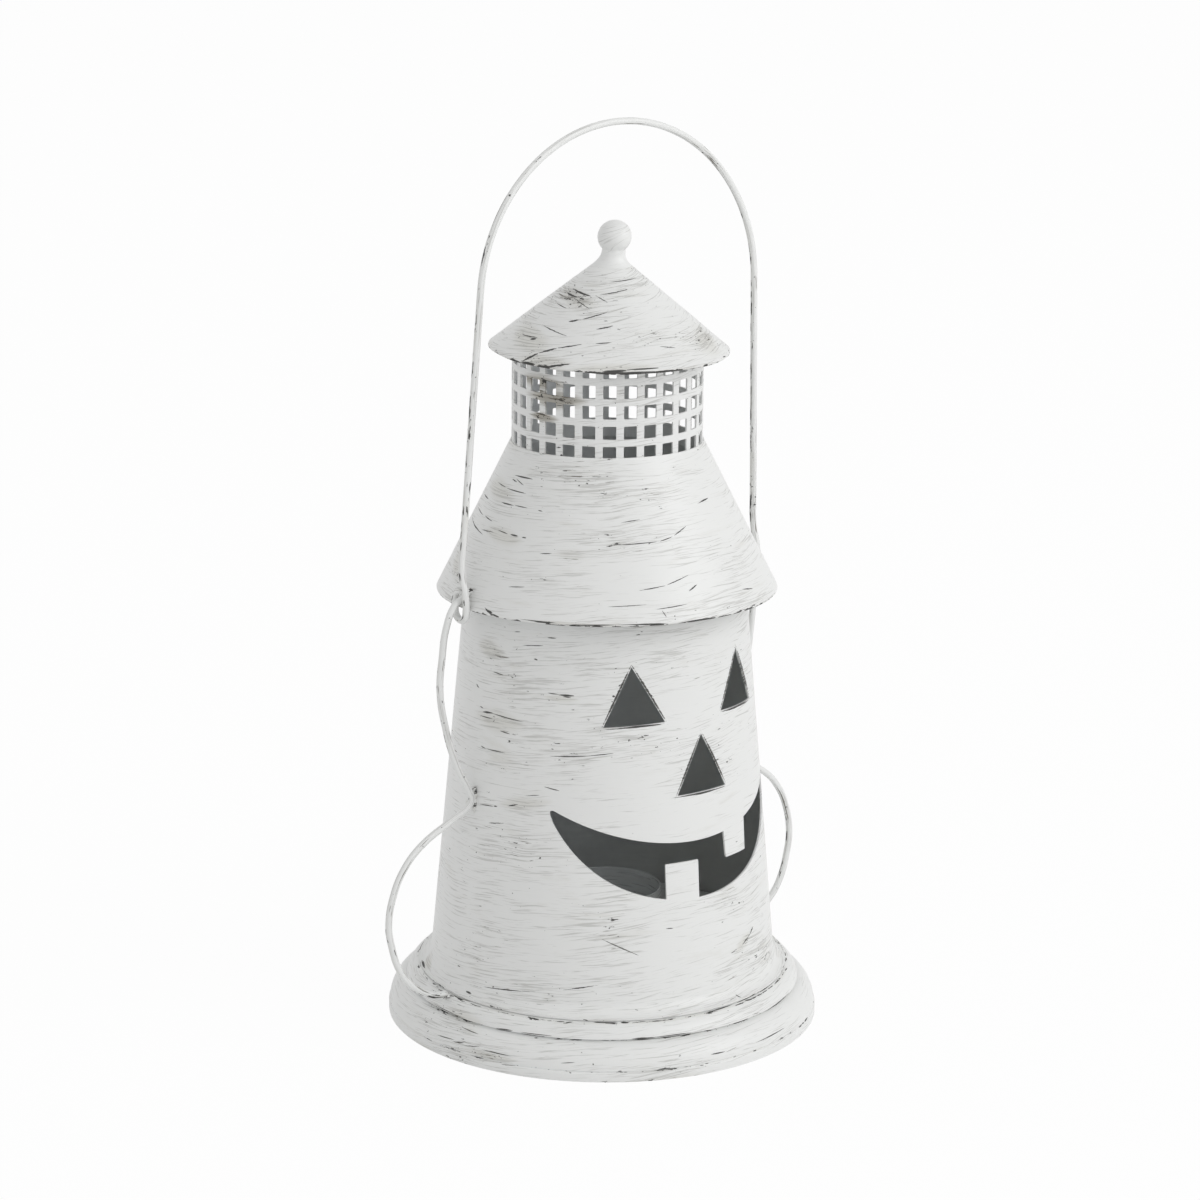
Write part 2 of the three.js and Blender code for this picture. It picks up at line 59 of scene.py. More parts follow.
def linePoints(start, end, count):
    return [
        (start[0] + (end[0] - start[0]) * step / count, start[1] + (end[1] - start[1]) * step / count)
        for step in range(count + 1)
    ]


def smoothStep(low, high, value):
    share = min(max((value - low) / (high - low), 0), 1)
    return share * share * (3 - 2 * share)


def startPiece(name):
    piece = bpy.context.object
    piece.name = name
    piece.data.name = name
    return piece


def pickPiece(piece, others=()):
    bpy.ops.object.select_all(action="DESELECT")
    for each in (*others, piece):
        each.select_set(True)
    bpy.context.view_layer.objects.active = piece


def turnFacesOut():
    # ends edit mode with the whole mesh looking outward
    bpy.ops.mesh.select_all(action="SELECT")
    bpy.ops.mesh.normals_make_consistent(inside=False)
    bpy.ops.object.mode_set(mode="OBJECT")


def leanToward(angle, azimuth):
    # the turn that lowers the side at the azimuth and leans the top toward it
    return Matrix.Rotation(math.radians(angle), 4, outward(azimuth + 90, 1, 0).normalized())


def spinProfile(name, profile, steps):
    # a single corner is pulled out point by point, and the line is spun round the axis
    bpy.ops.object.select_all(action="DESELECT")
    bpy.ops.mesh.primitive_plane_add(size=.002)
    piece = startPiece(name)
    bpy.ops.object.mode_set(mode="EDIT")
    bpy.ops.mesh.select_mode(type="VERT")
    bpy.ops.mesh.merge(type="CENTER")
    bpy.ops.transform.translate(value=(0, -profile[0][0] * mm, profile[0][1] * mm))
    for here, there in zip(profile, profile[1:]):
        pull = (0, (here[0] - there[0]) * mm, (there[1] - here[1]) * mm)
        bpy.ops.mesh.extrude_region_move(TRANSFORM_OT_translate={"value": pull})
    bpy.ops.mesh.select_all(action="SELECT")
    bpy.ops.mesh.spin(steps=steps, angle=math.tau, center=(0, 0, 0), axis=(0, 0, 1))
    bpy.ops.mesh.select_all(action="SELECT")
    bpy.ops.mesh.remove_doubles(threshold=.00001)
    turnFacesOut()
    return piece


def useModifier(piece, kind, **settings):
    pickPiece(piece)
    modifier = piece.modifiers.new(kind.title(), kind)
    for setting, value in settings.items():
        setattr(modifier, setting, value)
    bpy.ops.object.modifier_apply(modifier=modifier.name)


def cutAway(piece, cutter, operation="DIFFERENCE"):
    useModifier(piece, "BOOLEAN", object=cutter, operation=operation, solver="EXACT")
    bpy.data.objects.remove(cutter)


def joinPieces(piece, others):
    pickPiece(piece, others)
    bpy.ops.object.join()


def smoothFaces(piece, angle=35):
    pickPiece(piece)
    bpy.ops.object.shade_smooth_by_angle(angle=math.radians(angle))


def selectFaces(piece, chosen):
    # leaves the piece in edit mode with only the faces that the test picks
    pickPiece(piece)
    bpy.ops.object.mode_set(mode="EDIT")
    bpy.ops.mesh.select_mode(type="FACE")
    bpy.ops.mesh.select_all(action="DESELECT")
    bpy.ops.object.mode_set(mode="OBJECT")
    for face in piece.data.polygons:
        face.select = chosen(face)
    bpy.ops.object.mode_set(mode="EDIT")


def outwardTurn(face):
    # how far a face looks away from the axis: 1 is straight out, -1 straight in
    flat = Vector((face.center.x, face.center.y, 0))
    return face.normal.dot(flat.normalized()) if flat.length > 1e-6 else 0


def raiseSeam(piece, half, rise):
    # the lap where the sheet's ends meet, at the back
    def isLap(sheetFace):
        turn = abs(math.degrees(math.atan2(sheetFace.center.x, sheetFace.center.y)))
        return turn < half and outwardTurn(sheetFace) > .3
    selectFaces(piece, isLap)
    bpy.ops.mesh.extrude_region_shrink_fatten(TRANSFORM_OT_shrink_fatten={"value": rise * mm})
    bpy.ops.object.mode_set(mode="OBJECT")


def paintFaces(piece, paint, inside=None, isInside=None):
    piece.data.materials.clear()
    piece.data.materials.append(paint)
    if inside:
        piece.data.materials.append(inside)
        for face in piece.data.polygons:
            face.material_index = 1 if isInside(face) else 0


# Node helpers

def join(tree, value, socket):
    if isinstance(value, bpy.types.NodeSocket):
        tree.links.new(value, socket)
    elif value is not None:
        socket.default_value = value


def mathNode(tree, operation, first, second=None, third=None):
    node = tree.nodes.new("ShaderNodeMath")
    node.operation = operation
    for socket, value in zip(node.inputs, (first, second, third)):
        join(tree, value, socket)
    return node.outputs[0]


def noiseNode(tree, vector, scale, detail=2, roughness=.5, turn=(0, 0, 0), shift=(0, 0, 0), distortion=0):
    mapping = tree.nodes.new("ShaderNodeMapping")
    mapping.inputs["Rotation"].default_value = [math.radians(angle) for angle in turn]
    mapping.inputs["Location"].default_value = shift
    tree.links.new(vector, mapping.inputs["Vector"])
    stretch = tree.nodes.new("ShaderNodeVectorMath")
    stretch.operation = "MULTIPLY"
    stretch.inputs[1].default_value = scale
    tree.links.new(mapping.outputs[0], stretch.inputs[0])
    noise = tree.nodes.new("ShaderNodeTexNoise")
    noise.inputs["Scale"].default_value = 1
    noise.inputs["Detail"].default_value = detail
    noise.inputs["Roughness"].default_value = roughness
    noise.inputs["Distortion"].default_value = distortion
    tree.links.new(stretch.outputs[0], noise.inputs["Vector"])
    return noise.outputs["Fac"]


def rangeNode(tree, value, low, high, outLow=0, outHigh=1):
    node = tree.nodes.new("ShaderNodeMapRange")
    node.interpolation_type = "SMOOTHSTEP"
    for socket, setting in zip(node.inputs, (value, low, high, outLow, outHigh)):
        join(tree, setting, socket)
    return node.outputs[0]


def mixColour(tree, share, first, second):
    node = tree.nodes.new("ShaderNodeMix")
    node.data_type = "RGBA"
    join(tree, share, node.inputs[0])
    for socket, colour in ((node.inputs[6], first), (node.inputs[7], second)):
        join(tree, (*colour, 1) if isinstance(colour, tuple) else colour, socket)
    return node.outputs[2]


def bumpNode(tree, height, distance, strength, before=None):
    node = tree.nodes.new("ShaderNodeBump")
    node.inputs["Strength"].default_value = strength
    node.inputs["Distance"].default_value = distance
    tree.links.new(height, node.inputs["Height"])
    if before:
        tree.links.new(before, node.inputs["Normal"])
    return node.outputs[0]


# Worn paint: white brushed over black, rubbed through in strokes that run round the piece.
# Scales are cells for each metre across, across and along the profile. A stroke shows where its
# noise passes its cut. Rubbed rims and grooves lower that cut by up to rubDepth.
paintLook = {
    "white": (.83, .836, .825),
    "smear": (.52, .50, .42),
    "smearDepth": .28,
    "hair": (.33, .325, .30),
    "rust": (.10, .085, .06),
    "black": (.018, .017, .015),
    "attribute": None,
    "hairScale": (44, 44, 1400),
    "hairCut": .58,
    "hairDepth": .44,
    "dashScale": (60, 60, 1000),
    "dashCut": .715,
    "boldScale": (34, 34, 480),
    "boldCut": .79,
    "rubScale": (170, 170, 620),
    "rubCut": .72,
    "speckScale": (420, 420, 620),
    "speckCut": .75,
    "patchScale": (20, 20, 34),
    "smearScale": (34, 34, 150),
    "driftScale": (26, 26, 30),
    "swellScale": (55, 55, 80),
    "swellHeight": .0006,
    "reliefHeight": .00012,
    "patchDepth": .34,
    "slant": 5,
    "wander": .0028,
    "wear": 0,
    "rubDepth": .24,
    "marks": [],
    "markWidth": 1.2,
    "stains": [],
    "stainShare": .3,
    "stainDepth": .06,
    "seed": 0,
    "roughness": .40,
}


def markField(tree, around, down, rows):
    # 0 along the middle of the nearest mark and 1 at its edge; a row gives the mark's place
    # round the piece and along its profile, half its length, its slope and half its width.
    # The third number carries the least value so far from mark to mark.
    least = 9
    for rowAround, rowDown, length, slope, width in rows:
        spot = tree.nodes.new("ShaderNodeCombineXYZ")
        for socket, value in zip(spot.inputs, (around, down, least)):
            join(tree, value, socket)
        placing = tree.nodes.new("ShaderNodeMapping")
        placing.vector_type = "TEXTURE"
        placing.inputs["Location"].default_value = (rowAround * mm, rowDown * mm, 0)
        placing.inputs["Rotation"].default_value = (0, 0, math.radians(slope))
        placing.inputs["Scale"].default_value = (length * mm, width * mm, 1)
        tree.links.new(spot.outputs[0], placing.inputs["Vector"])
        split = tree.nodes.new("ShaderNodeSeparateXYZ")
        tree.links.new(placing.outputs[0], split.inputs[0])
        lengthwise, crosswise, before = split.outputs
        field = mathNode(tree, "MULTIPLY_ADD", lengthwise, lengthwise, mathNode(tree, "ABSOLUTE", crosswise))
        least = mathNode(tree, "MINIMUM", before, field)
    return least


def makePaint(name, **changes):
    look = {**paintLook, **changes}
    material = bpy.data.materials.new(name)
    material.use_nodes = True
    tree = material.node_tree
    shader = tree.nodes["Principled BSDF"]

    if look["attribute"]:
        along = tree.nodes.new("ShaderNodeAttribute")
        along.attribute_name = look["attribute"]
        place = along.outputs["Vector"]
    else:
        # the third number runs down the profile: height less the distance from the axis
        local = tree.nodes.new("ShaderNodeTexCoord").outputs["Object"]
        split = tree.nodes.new("ShaderNodeSeparateXYZ")
        tree.links.new(local, split.inputs[0])
        x, y, z = split.outputs
        reach = mathNode(tree, "SQRT", mathNode(tree, "ADD", mathNode(tree, "MULTIPLY", x, x),
                                                mathNode(tree, "MULTIPLY", y, y)))
        down = mathNode(tree, "SUBTRACT", z, reach)
        combine = tree.nodes.new("ShaderNodeCombineXYZ")
        tree.links.new(x, combine.inputs[0])
        tree.links.new(y, combine.inputs[1])
        tree.links.new(down, combine.inputs[2])
        place = combine.outputs[0]
        azimuth = mathNode(tree, "ARCTAN2", x, mathNode(tree, "MULTIPLY", y, -1))
        around = mathNode(tree, "MULTIPLY", azimuth, reach)

    # a slow drift makes the strokes bend a little
    drift = noiseNode(tree, place, look["driftScale"], 1, shift=(look["seed"], 0, 0))
    lift = mathNode(tree, "MULTIPLY", mathNode(tree, "SUBTRACT", drift, .5), look["wander"] * 2)
    offset = tree.nodes.new("ShaderNodeCombineXYZ")
    tree.links.new(lift, offset.inputs[2])
    moved = tree.nodes.new("ShaderNodeVectorMath")
    tree.links.new(place, moved.inputs[0])
    tree.links.new(offset.outputs[0], moved.inputs[1])
    place = moved.outputs[0]

    seed = look["seed"]
    slant = look["slant"]
    patch = noiseNode(tree, place, look["patchScale"], 3, .55, shift=(seed + 3, 0, 0))
    extra = mathNode(tree, "MULTIPLY", mathNode(tree, "SUBTRACT", patch, .5), look["patchDepth"])
    extra = mathNode(tree, "ADD", extra, look["wear"])
    stain = None
    if look["stains"]:
        stainField = markField(tree, around, down, look["stains"])
        stain = rangeNode(tree, mathNode(tree, "ADD", stainField, patch), .6, 1.5, 1, 0)
        extra = mathNode(tree, "MULTIPLY_ADD", stain, look["stainDepth"], extra)
    rub = tree.nodes.new("ShaderNodeAttribute")
    rub.attribute_name = "rub"
    rubbed = mathNode(tree, "MULTIPLY_ADD", rub.outputs["Fac"], look["rubDepth"], extra)

    def strokes(scale, cut, soft, detail, turn, shift, level=extra):
        grain = noiseNode(tree, place, scale, detail, .62, turn, shift)
        return rangeNode(tree, mathNode(tree, "ADD", grain, level), cut, cut + soft)

    hairs = mathNode(
        tree, "MAXIMUM",
        strokes(look["hairScale"], look["hairCut"], .1, 3, (slant, 0, 0), (seed + 5, 0, 0)),
        strokes(look["hairScale"], look["hairCut"], .1, 3, (slant, slant * 1.6, 0), (seed + 6, 0, 0)),
    )
    dashes = mathNode(
        tree, "MAXIMUM",
        strokes(look["dashScale"], look["dashCut"], .05, 3, (slant, 0, 0), (seed + 7, 0, 0)),
        strokes(look["dashScale"], look["dashCut"], .05, 3, (0, slant, 0), (seed + 9, 0, 0)),
    )
    bold = mathNode(
        tree, "MAXIMUM",
        strokes(look["boldScale"], look["boldCut"], .035, 4, (slant, -slant, 0), (seed + 11, 0, 0)),
        strokes(look["rubScale"], look["rubCut"], .04, 3, (0, 0, 0), (seed + 13, 0, 0), rubbed),
    )
    specks = strokes(look["speckScale"], look["speckCut"], .03, 2, (0, 0, 0), (seed + 15, 0, 0))
    deep = mathNode(tree, "MAXIMUM", bold, specks)
    brush = noiseNode(tree, place, look["hairScale"], 4, .7, shift=(seed + 19, 0, 0))
    if look["marks"]:
        rows = [(*row[:4], row[4] * look["markWidth"]) for row in look["marks"]]
        ragged = mathNode(tree, "MULTIPLY_ADD", brush, 2.6, markField(tree, around, down, rows))
        deep = mathNode(tree, "MAXIMUM", deep, rangeNode(tree, ragged, 2, 2.3, 1, 0))

    smears = noiseNode(tree, place, look["smearScale"], 4, .6, shift=(seed + 17, 0, 0))
    smearShare = mathNode(tree, "MULTIPLY", rangeNode(tree, mathNode(tree, "ADD", smears, rubbed), .55, .85),
                          look["smearDepth"])
    if stain:
        stained = mathNode(tree, "MULTIPLY", stain, look["stainShare"])
        smearShare = mathNode(tree, "MAXIMUM", smearShare, stained)
    colour = mixColour(tree, smearShare, look["white"], look["smear"])
    colour = mixColour(tree, mathNode(tree, "MULTIPLY", hairs, look["hairDepth"]), colour, look["hair"])
    colour = mixColour(tree, mathNode(tree, "MULTIPLY", dashes, .8), colour, look["rust"])
    colour = mixColour(tree, mathNode(tree, "MULTIPLY", deep, .95), colour, look["black"])
    tree.links.new(colour, shader.inputs["Base Color"])

    worn = mathNode(tree, "MAXIMUM", deep, dashes)
    rough = mathNode(tree, "MULTIPLY_ADD", brush, .2, look["roughness"] - .1)
    rough = mathNode(tree, "MULTIPLY_ADD", worn, .25, rough)
    tree.links.new(rough, shader.inputs["Roughness"])
    relief = mathNode(tree, "MULTIPLY_ADD", worn, -1.6, brush)
    swell = noiseNode(tree, place, look["swellScale"], 2, shift=(seed + 21, 0, 0))
    soft = bumpNode(tree, swell, look["swellHeight"], .35)
    tree.links.new(bumpNode(tree, relief, look["reliefHeight"], .45, soft), shader.inputs["Normal"])
    shader.inputs["Specular IOR Level"].default_value = .5
    return material


# Bare inner side of the sheets, with painted shade darkening one side
insideLook = {
    "grainScale": (50, 50, 900), "blotchScale": (26, 26, 26), "paintedShadeWay": (.804, -.594, 0),
    "paintedShadeFrom": -.03, "paintedShadeTo": .05, "paintedShadeShare": .7,
}


def makeInside(name, colour, metallic=.25, roughness=.5, paintedShadeTone=(.60, .61, .58)):
    # the plain inner side of the sheet: grey, brushed round, a little blotchy, and darker on one side with
    # painted shade
    material = bpy.data.materials.new(name)
    material.use_nodes = True
    tree = material.node_tree
    shader = tree.nodes["Principled BSDF"]
    local = tree.nodes.new("ShaderNodeTexCoord").outputs["Object"]
    grain = noiseNode(tree, local, insideLook["grainScale"], 3, .6)
    blotch = noiseNode(tree, local, insideLook["blotchScale"], 4, .6, shift=(4, 0, 0))
    dark = tuple(part * .82 for part in colour)
    light = tuple(min(part * 1.08, 1) for part in colour)
    tone = mixColour(tree, rangeNode(tree, blotch, .3, .7), dark, light)
    tone = mixColour(tree, mathNode(tree, "MULTIPLY", rangeNode(tree, grain, .35, .75), .3), tone, dark)
    across = tree.nodes.new("ShaderNodeVectorMath")
    across.operation = "DOT_PRODUCT"
    tree.links.new(local, across.inputs[0])
    across.inputs[1].default_value = insideLook["paintedShadeWay"]
    # painted shade: the tone darkens toward the given way, on the inner side where less light falls
    paintedShade = rangeNode(tree, across.outputs["Value"], insideLook["paintedShadeFrom"], insideLook["paintedShadeTo"])
    tone = mixColour(tree, mathNode(tree, "MULTIPLY", paintedShade, insideLook["paintedShadeShare"]), tone, paintedShadeTone)
    tree.links.new(tone, shader.inputs["Base Color"])
    tree.links.new(mathNode(tree, "MULTIPLY_ADD", grain, .3, roughness - .15), shader.inputs["Roughness"])
    tree.links.new(bumpNode(tree, grain, .0001, .4), shader.inputs["Normal"])
    shader.inputs["Metallic"].default_value = metallic
    return material


def rubLines(piece, lines):
    # how far the paint is rubbed along rims and grooves, which are given by their distance
    # from the axis, height, width and strength
    values = []
    for corner in piece.data.vertices:
        reach = math.hypot(corner.co.x, corner.co.y) / mm
        height = corner.co.z / mm
        values.append(max(
            strength * math.exp(-((reach - lineReach) ** 2 + (height - lineHeight) ** 2) / width ** 2)
            for lineReach, lineHeight, width, strength in lines))
    piece.data.attributes.new("rub", "FLOAT", "POINT").data.foreach_set("value", values)


# Camera, at the photograph's place and view
view = {"place": (-1057.6, -1431.4, 670.7), "heading": -36.38, "down": 15.207, "roll": .521, "lens": 127.02}
cameraData = bpy.data.cameras.new("pictureCamera")
cameraData.lens = view["lens"]
cameraData.sensor_width = 36
cameraData.clip_end = 100
camera = bpy.data.objects.new("pictureCamera", cameraData)
bpy.context.scene.collection.objects.link(camera)
camera.matrix_world = (
    Matrix.Translation(Vector(view["place"]) * mm)
    @ Matrix.Rotation(math.radians(view["heading"]), 4, "Z")
    @ Matrix.Rotation(math.radians(90 - view["down"]), 4, "X")
    @ Matrix.Rotation(math.radians(view["roll"]), 4, "Z")
)
bpy.context.scene.camera = camera
bpy.context.scene.view_settings.view_transform = "Standard"


# Floor, white world and soft lamps

def seenDirectly(tree):
    rays = tree.nodes.new("ShaderNodeLightPath")
    seen = mathNode(tree, "MAXIMUM", rays.outputs["Is Camera Ray"], rays.outputs["Is Glossy Ray"])
    return mathNode(tree, "MAXIMUM", seen, rays.outputs["Is Transmission Ray"])


studio = {
    "floorSize": 40, "floorColour": (.9, .9, .9), "floorWhite": .96,
    "worldStrength": .6,
    "keyPlace": (1.4, -2.4, 1.7), "keySize": 2.2, "keyPower": 36,
    "fillPlace": (-2.6, -1.6, 1.6), "fillSize": 2.4, "fillPower": 7,
}
bpy.ops.object.select_all(action="DESELECT")
bpy.ops.mesh.primitive_plane_add(size=studio["floorSize"], location=(0, 0, 0))
floor = startPiece("studioFloor")
floorPaint = bpy.data.materials.new("floorWhite")
floorPaint.use_nodes = True
floorTree = floorPaint.node_tree
floorShader = floorTree.nodes["Principled BSDF"]
floorShader.inputs["Base Color"].default_value = (*studio["floorColour"], 1)
floorShader.inputs["Roughness"].default_value = 1
floorShader.inputs["Specular IOR Level"].default_value = 0
glow = floorTree.nodes.new("ShaderNodeEmission")
seen = seenDirectly(floorTree)
blend = floorTree.nodes.new("ShaderNodeMixShader")
floorTree.links.new(mathNode(floorTree, "MULTIPLY", seen, studio["floorWhite"]), blend.inputs[0])
floorTree.links.new(floorShader.outputs[0], blend.inputs[1])
floorTree.links.new(glow.outputs[0], blend.inputs[2])
floorTree.links.new(blend.outputs[0], floorTree.nodes["Material Output"].inputs["Surface"])
floor.data.materials.append(floorPaint)

world = bpy.data.worlds.new("studioWorld")
bpy.context.scene.world = world
world.use_nodes = True
worldTree = world.node_tree
background = worldTree.nodes["Background"]
background.inputs["Color"].default_value = (1, 1, 1, 1)
worldSeen = seenDirectly(worldTree)
dim = studio["worldStrength"]
strength = mathNode(worldTree, "MULTIPLY_ADD", worldSeen, 1 - dim, dim)
worldTree.links.new(strength, background.inputs["Strength"])


def addLamp(name, place, size, power):
    lampData = bpy.data.lights.new(name, "AREA")
    lampData.size = size
    lampData.energy = power
    lamp = bpy.data.objects.new(name, lampData)
    bpy.context.scene.collection.objects.link(lamp)
    lamp.location = place
    lamp.rotation_euler = (Vector((0, 0, .2)) - Vector(place)).to_track_quat("-Z", "Y").to_euler()


addLamp("keyLamp", studio["keyPlace"], studio["keySize"], studio["keyPower"])
addLamp("fillLamp", studio["fillPlace"], studio["fillSize"], studio["fillPower"])
print("stage set")

# painted light: the inside and cup greys are much paler than the real dark inner sides, standing in for light
# inside
insideGrey = makeInside("insideGrey", (.90, .92, .94), .3, .4)
vesselGrey = makeInside("cupGrey", (.92, .95, .97), .2, .3)
steelGrey = makeInside("rivetSteel", (.50, .51, .51), .9, .35, (.44, .44, .42))

# Base: a spun pan with a rounded flange, a bead above it and a raised floor
base = {
    "flange": 95, "rimHeight": 3.5, "shoulder": 9.4, "shoulderTop": 15.2, "grooveDepth": 1.2,
    "beadOut": 86.9, "beadIn": 82.2, "beadFoot": 16.2, "beadTop": 21.8, "beadBulge": .9,
    "ledge": 22.3, "wall": 73.8, "floor": 34, "corner": 1.6, "sheet": 1,
    "rivetHole": 1.9, "rivetPlace": (1.527, -1.130), "crease": .42, "steps": 256,
    "rubs": [(82.2, 21.8, .55, .9), (85.9, 15.7, .6, .95), (94.4, 4.4, .5, .75), (95, .2, .5, .5)],
    "marks": [
        (-50.5, -59.6, 6.4, 0, .47), (-98.8, -70.4, 4.4, 4, .22), (-83.8, -70.1, 7.5, 1, .2),
        (-134.9, -85.5, 6, 5, .24), (-126.3, -85.4, 3.6, 11, .27), (-119.1, -85.4, 4.5, 11, .23),
        (-106.7, -85.9, 7.7, -1, .25), (-130.4, -70.2, 12, -1, .21), (-119.2, -76.8, 5.5, -8, .32),
        (-73.5, -90.9, .5, -18, .29), (-74.3, -86, 3.8, 8, .23), (-100.9, -90.7, 4.1, 7, .21),
        (-42.3, -59.7, 2, -1, .57), (-37.6, -70.4, 5.7, 0, .36), (-23.6, -70.3, 9.4, 0, .21),
        (2.6, -59.5, 9.6, 3, .37), (20.1, -58.9, 9.4, 1, .39), (34.2, -58.8, 5.9, 0, .38),
        (49.7, -58.5, 10.9, 2, .28), (41.5, -70.6, 11.1, 1, .27), (-7.1, -86.1, 3.5, -1, .24),
        (25.1, -85.9, 10.6, 2, .26),
    ],
    "stains": [(-122, -70, 16, 0, 7), (-112, -88, 18, 0, 4)],
}
beadRun = (base["beadOut"] - base["beadIn"], base["beadTop"] - base["beadFoot"])
beadLength = math.hypot(*beadRun)
beadLine = []
for step in range(9):
    share = step / 8
    swell = base["beadBulge"] * 4 * share * (1 - share)
    beadLine.append((
        base["beadIn"] + beadRun[0] * share + swell * beadRun[1] / beadLength,
        base["beadTop"] - beadRun[1] * share + swell * beadRun[0] / beadLength,
    ))
baseLine = [
    *linePoints((0, base["floor"]), (base["wall"] - base["corner"], base["floor"]), 12),
    *arcPoints((base["wall"] - base["corner"], base["floor"] - base["corner"]),
               (base["corner"], base["corner"]), 75, 0, 5),
    (base["wall"], base["ledge"] + .6),
    (base["wall"] + .6, base["ledge"]),
    (base["beadIn"] - 1, base["ledge"]),
    *beadLine,
    (base["beadOut"] - base["grooveDepth"] * .8, (base["shoulderTop"] + base["beadFoot"]) / 2 + .15),
    (base["beadOut"] - base["grooveDepth"], (base["shoulderTop"] + base["beadFoot"]) / 2 - .1),
    *arcPoints((base["flange"] - base["shoulder"], base["rimHeight"]),
               (base["shoulder"] - base["crease"], base["shoulderTop"] - base["rimHeight"]), 79, 6, 22),
    (base["flange"] - base["crease"] * 1.6, base["rimHeight"] + .95),
    (base["flange"] - base["crease"] * 1.3, base["rimHeight"] + .6),
    (base["flange"] - base["crease"] * .4, base["rimHeight"] + .35),
    (base["flange"], base["rimHeight"]),
    (base["flange"], base["rimHeight"] / 2),
    (base["flange"], 0),
]
basePiece = spinProfile("basePan", baseLine, base["steps"])
useModifier(basePiece, "SOLIDIFY", thickness=base["sheet"] * mm, offset=-1, use_even_offset=True)
bpy.ops.object.select_all(action="DESELECT")
bpy.ops.mesh.primitive_cylinder_add(
    vertices=32, radius=base["rivetHole"] * mm, depth=6 * mm,
    location=(base["rivetPlace"][0] * mm, base["rivetPlace"][1] * mm, base["floor"] * mm))
cutAway(basePiece, bpy.context.object)
smoothFaces(basePiece)
rubLines(basePiece, base["rubs"])
basePaint = makePaint("basePaint", seed=1, marks=base["marks"], stains=base["stains"])
paintFaces(basePiece, basePaint, insideGrey, lambda face: face.normal.z < -.2 or (
    outwardTurn(face) < -.5 and face.center.z > .5 * mm))
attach(basePiece, "lantern")
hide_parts("base_pan")
print("base made")

# Body: a cone rolled from sheet and flared at its foot
body = {
    "sheet": .8, "foot": 81.4, "seat": 22.6, "flareHeight": 6.6, "bottom": 75.9, "taper": .0889,
    "top": 223.8, "rings": 84, "steps": 240, "seamHalf": 2.3, "seamRise": .45,
    "rubs": [(81.4, 22.8, .7, .7)],
    "marks": [
        (-98.6, 82.6, 3.9, 9, .44), (-86.4, 82.8, 9.4, -1, .28), (-99.5, 80.1, 4.7, 4, .22),
        (-103, 83.9, 1.5, -6, .27), (-88, 75.7, 2.9, -2, .22), (-85.7, 72.1, .6, -4, .4),
        (-102.2, 65.6, 2, -8, .28), (-94, 65.8, 6.9, 3, .22), (-63.1, 97.9, 2.9, -1, .21),
        (-57.1, 97.7, 3.7, 1, .38), (-56.9, 96.9, 2.1, -3, .21), (-70.5, 112.8, 1, -8, .32),
        (-72, 119, 6.4, 8, .21), (-62.6, 123.8, 2.2, 3, .21), (-79.4, 124.1, 1.9, 10, .2),
        (-91.4, 102.4, 3.5, 0, .22), (-106.3, 93.1, 1.5, -28, .33), (-65.7, 53.2, 3.6, -9, .22),
        (-99.8, 39, 4.9, 7, .21), (-94.7, 39.8, 1.2, 14, .33), (-85, 42.4, 3.1, 18, .29),
        (-75.2, 48.7, 4.3, 11, .21), (-94.8, 31.9, 4.8, 12, .21), (-56.6, 69.3, 9, 5, .21),
        (-43.6, 70.7, 5.1, 7, .21), (-37, 98.1, .8, -15, .45), (-34.3, 103.1, .7, 39, .23),
        (-37.7, 95.6, .5, -23, .28), (-20.6, 97.6, .7, -38, .29), (-19.8, 95.8, 1, -61, .27),
        (31.9, -26, 2.6, 40, .41), (26.6, -29.2, 4.2, 26, .32), (17, -32.1, 2, 6, .24),
        (-16.9, -13.4, 2.3, -3, .22), (16.3, -55.6, 2, -67, .35), (-162.7, -57.2, 5.3, -1, .66),
        (-114.9, -54.1, 2, -2, .74), (-92, -46.1, 16.1, 7, .24), (-38.7, -21, 9.5, -28, .23),
        (-56.8, -40.1, 8.4, 12, .23),
    ],
    "stains": [
        (-92, 80, 18, 2, 8), (-80, 44, 16, 12, 5), (-114.5, 36, 2.2, 90, 2.4), (-60, 96, 10, 0, 3),
        (-158, -54, 8, 0, 7), (24, -30, 9, 30, 5), (-96, 112, 12, 0, 8),
    ],
}
coneStart = body["seat"] + body["flareHeight"]


def bodyRadiusAt(height):
    return body["bottom"] - body["taper"] * (height - coneStart)


bodyLine = [
    *linePoints((bodyRadiusAt(body["top"]), body["top"]), (body["bottom"], coneStart), body["rings"]),
    *arcPoints((body["foot"], coneStart),
               (body["foot"] - body["bottom"], body["flareHeight"] - body["sheet"]), 190, 270, 10),
]
bodyPiece = spinProfile("bodyShell", bodyLine, body["steps"])
raiseSeam(bodyPiece, body["seamHalf"], body["seamRise"])
useModifier(bodyPiece, "SOLIDIFY", thickness=body["sheet"] * mm, offset=-1, use_even_offset=True)

# Face: prisms that reach outward from the axis cut the eyes, the nose and the mouth
face = {
    "eyeWidth": 27, "eyeHeight": 25.4, "eyeBottom": 149.1, "eyeAzimuth": 25.1, "eyeTurn": 2.8,
    "noseWidth": 26.8, "noseHeight": 25.4, "noseBottom": 117, "noseAzimuth": 2.3,
    "mouthAzimuth": -1, "mouthHalfWidth": 68.2, "cornerHeight": 110.4, "cornerOpening": 3.8, "endRound": 2.2,
    "upperLip": 96.4, "lowerLip": 71.2, "upperFullness": -.45, "lowerFullness": 1.2, "lipSteps": 84,
    "lowerToothAzimuth": -7.8, "lowerToothWidth": 16, "lowerToothTip": 87.9,
    "upperToothAzimuth": 17.6, "upperToothRoot": 16.2, "upperToothEnd": 14.2, "upperToothTip": 85.5,
    "cornerRound": .35, "edgeInset": .5, "edgeWidth": .44,
}


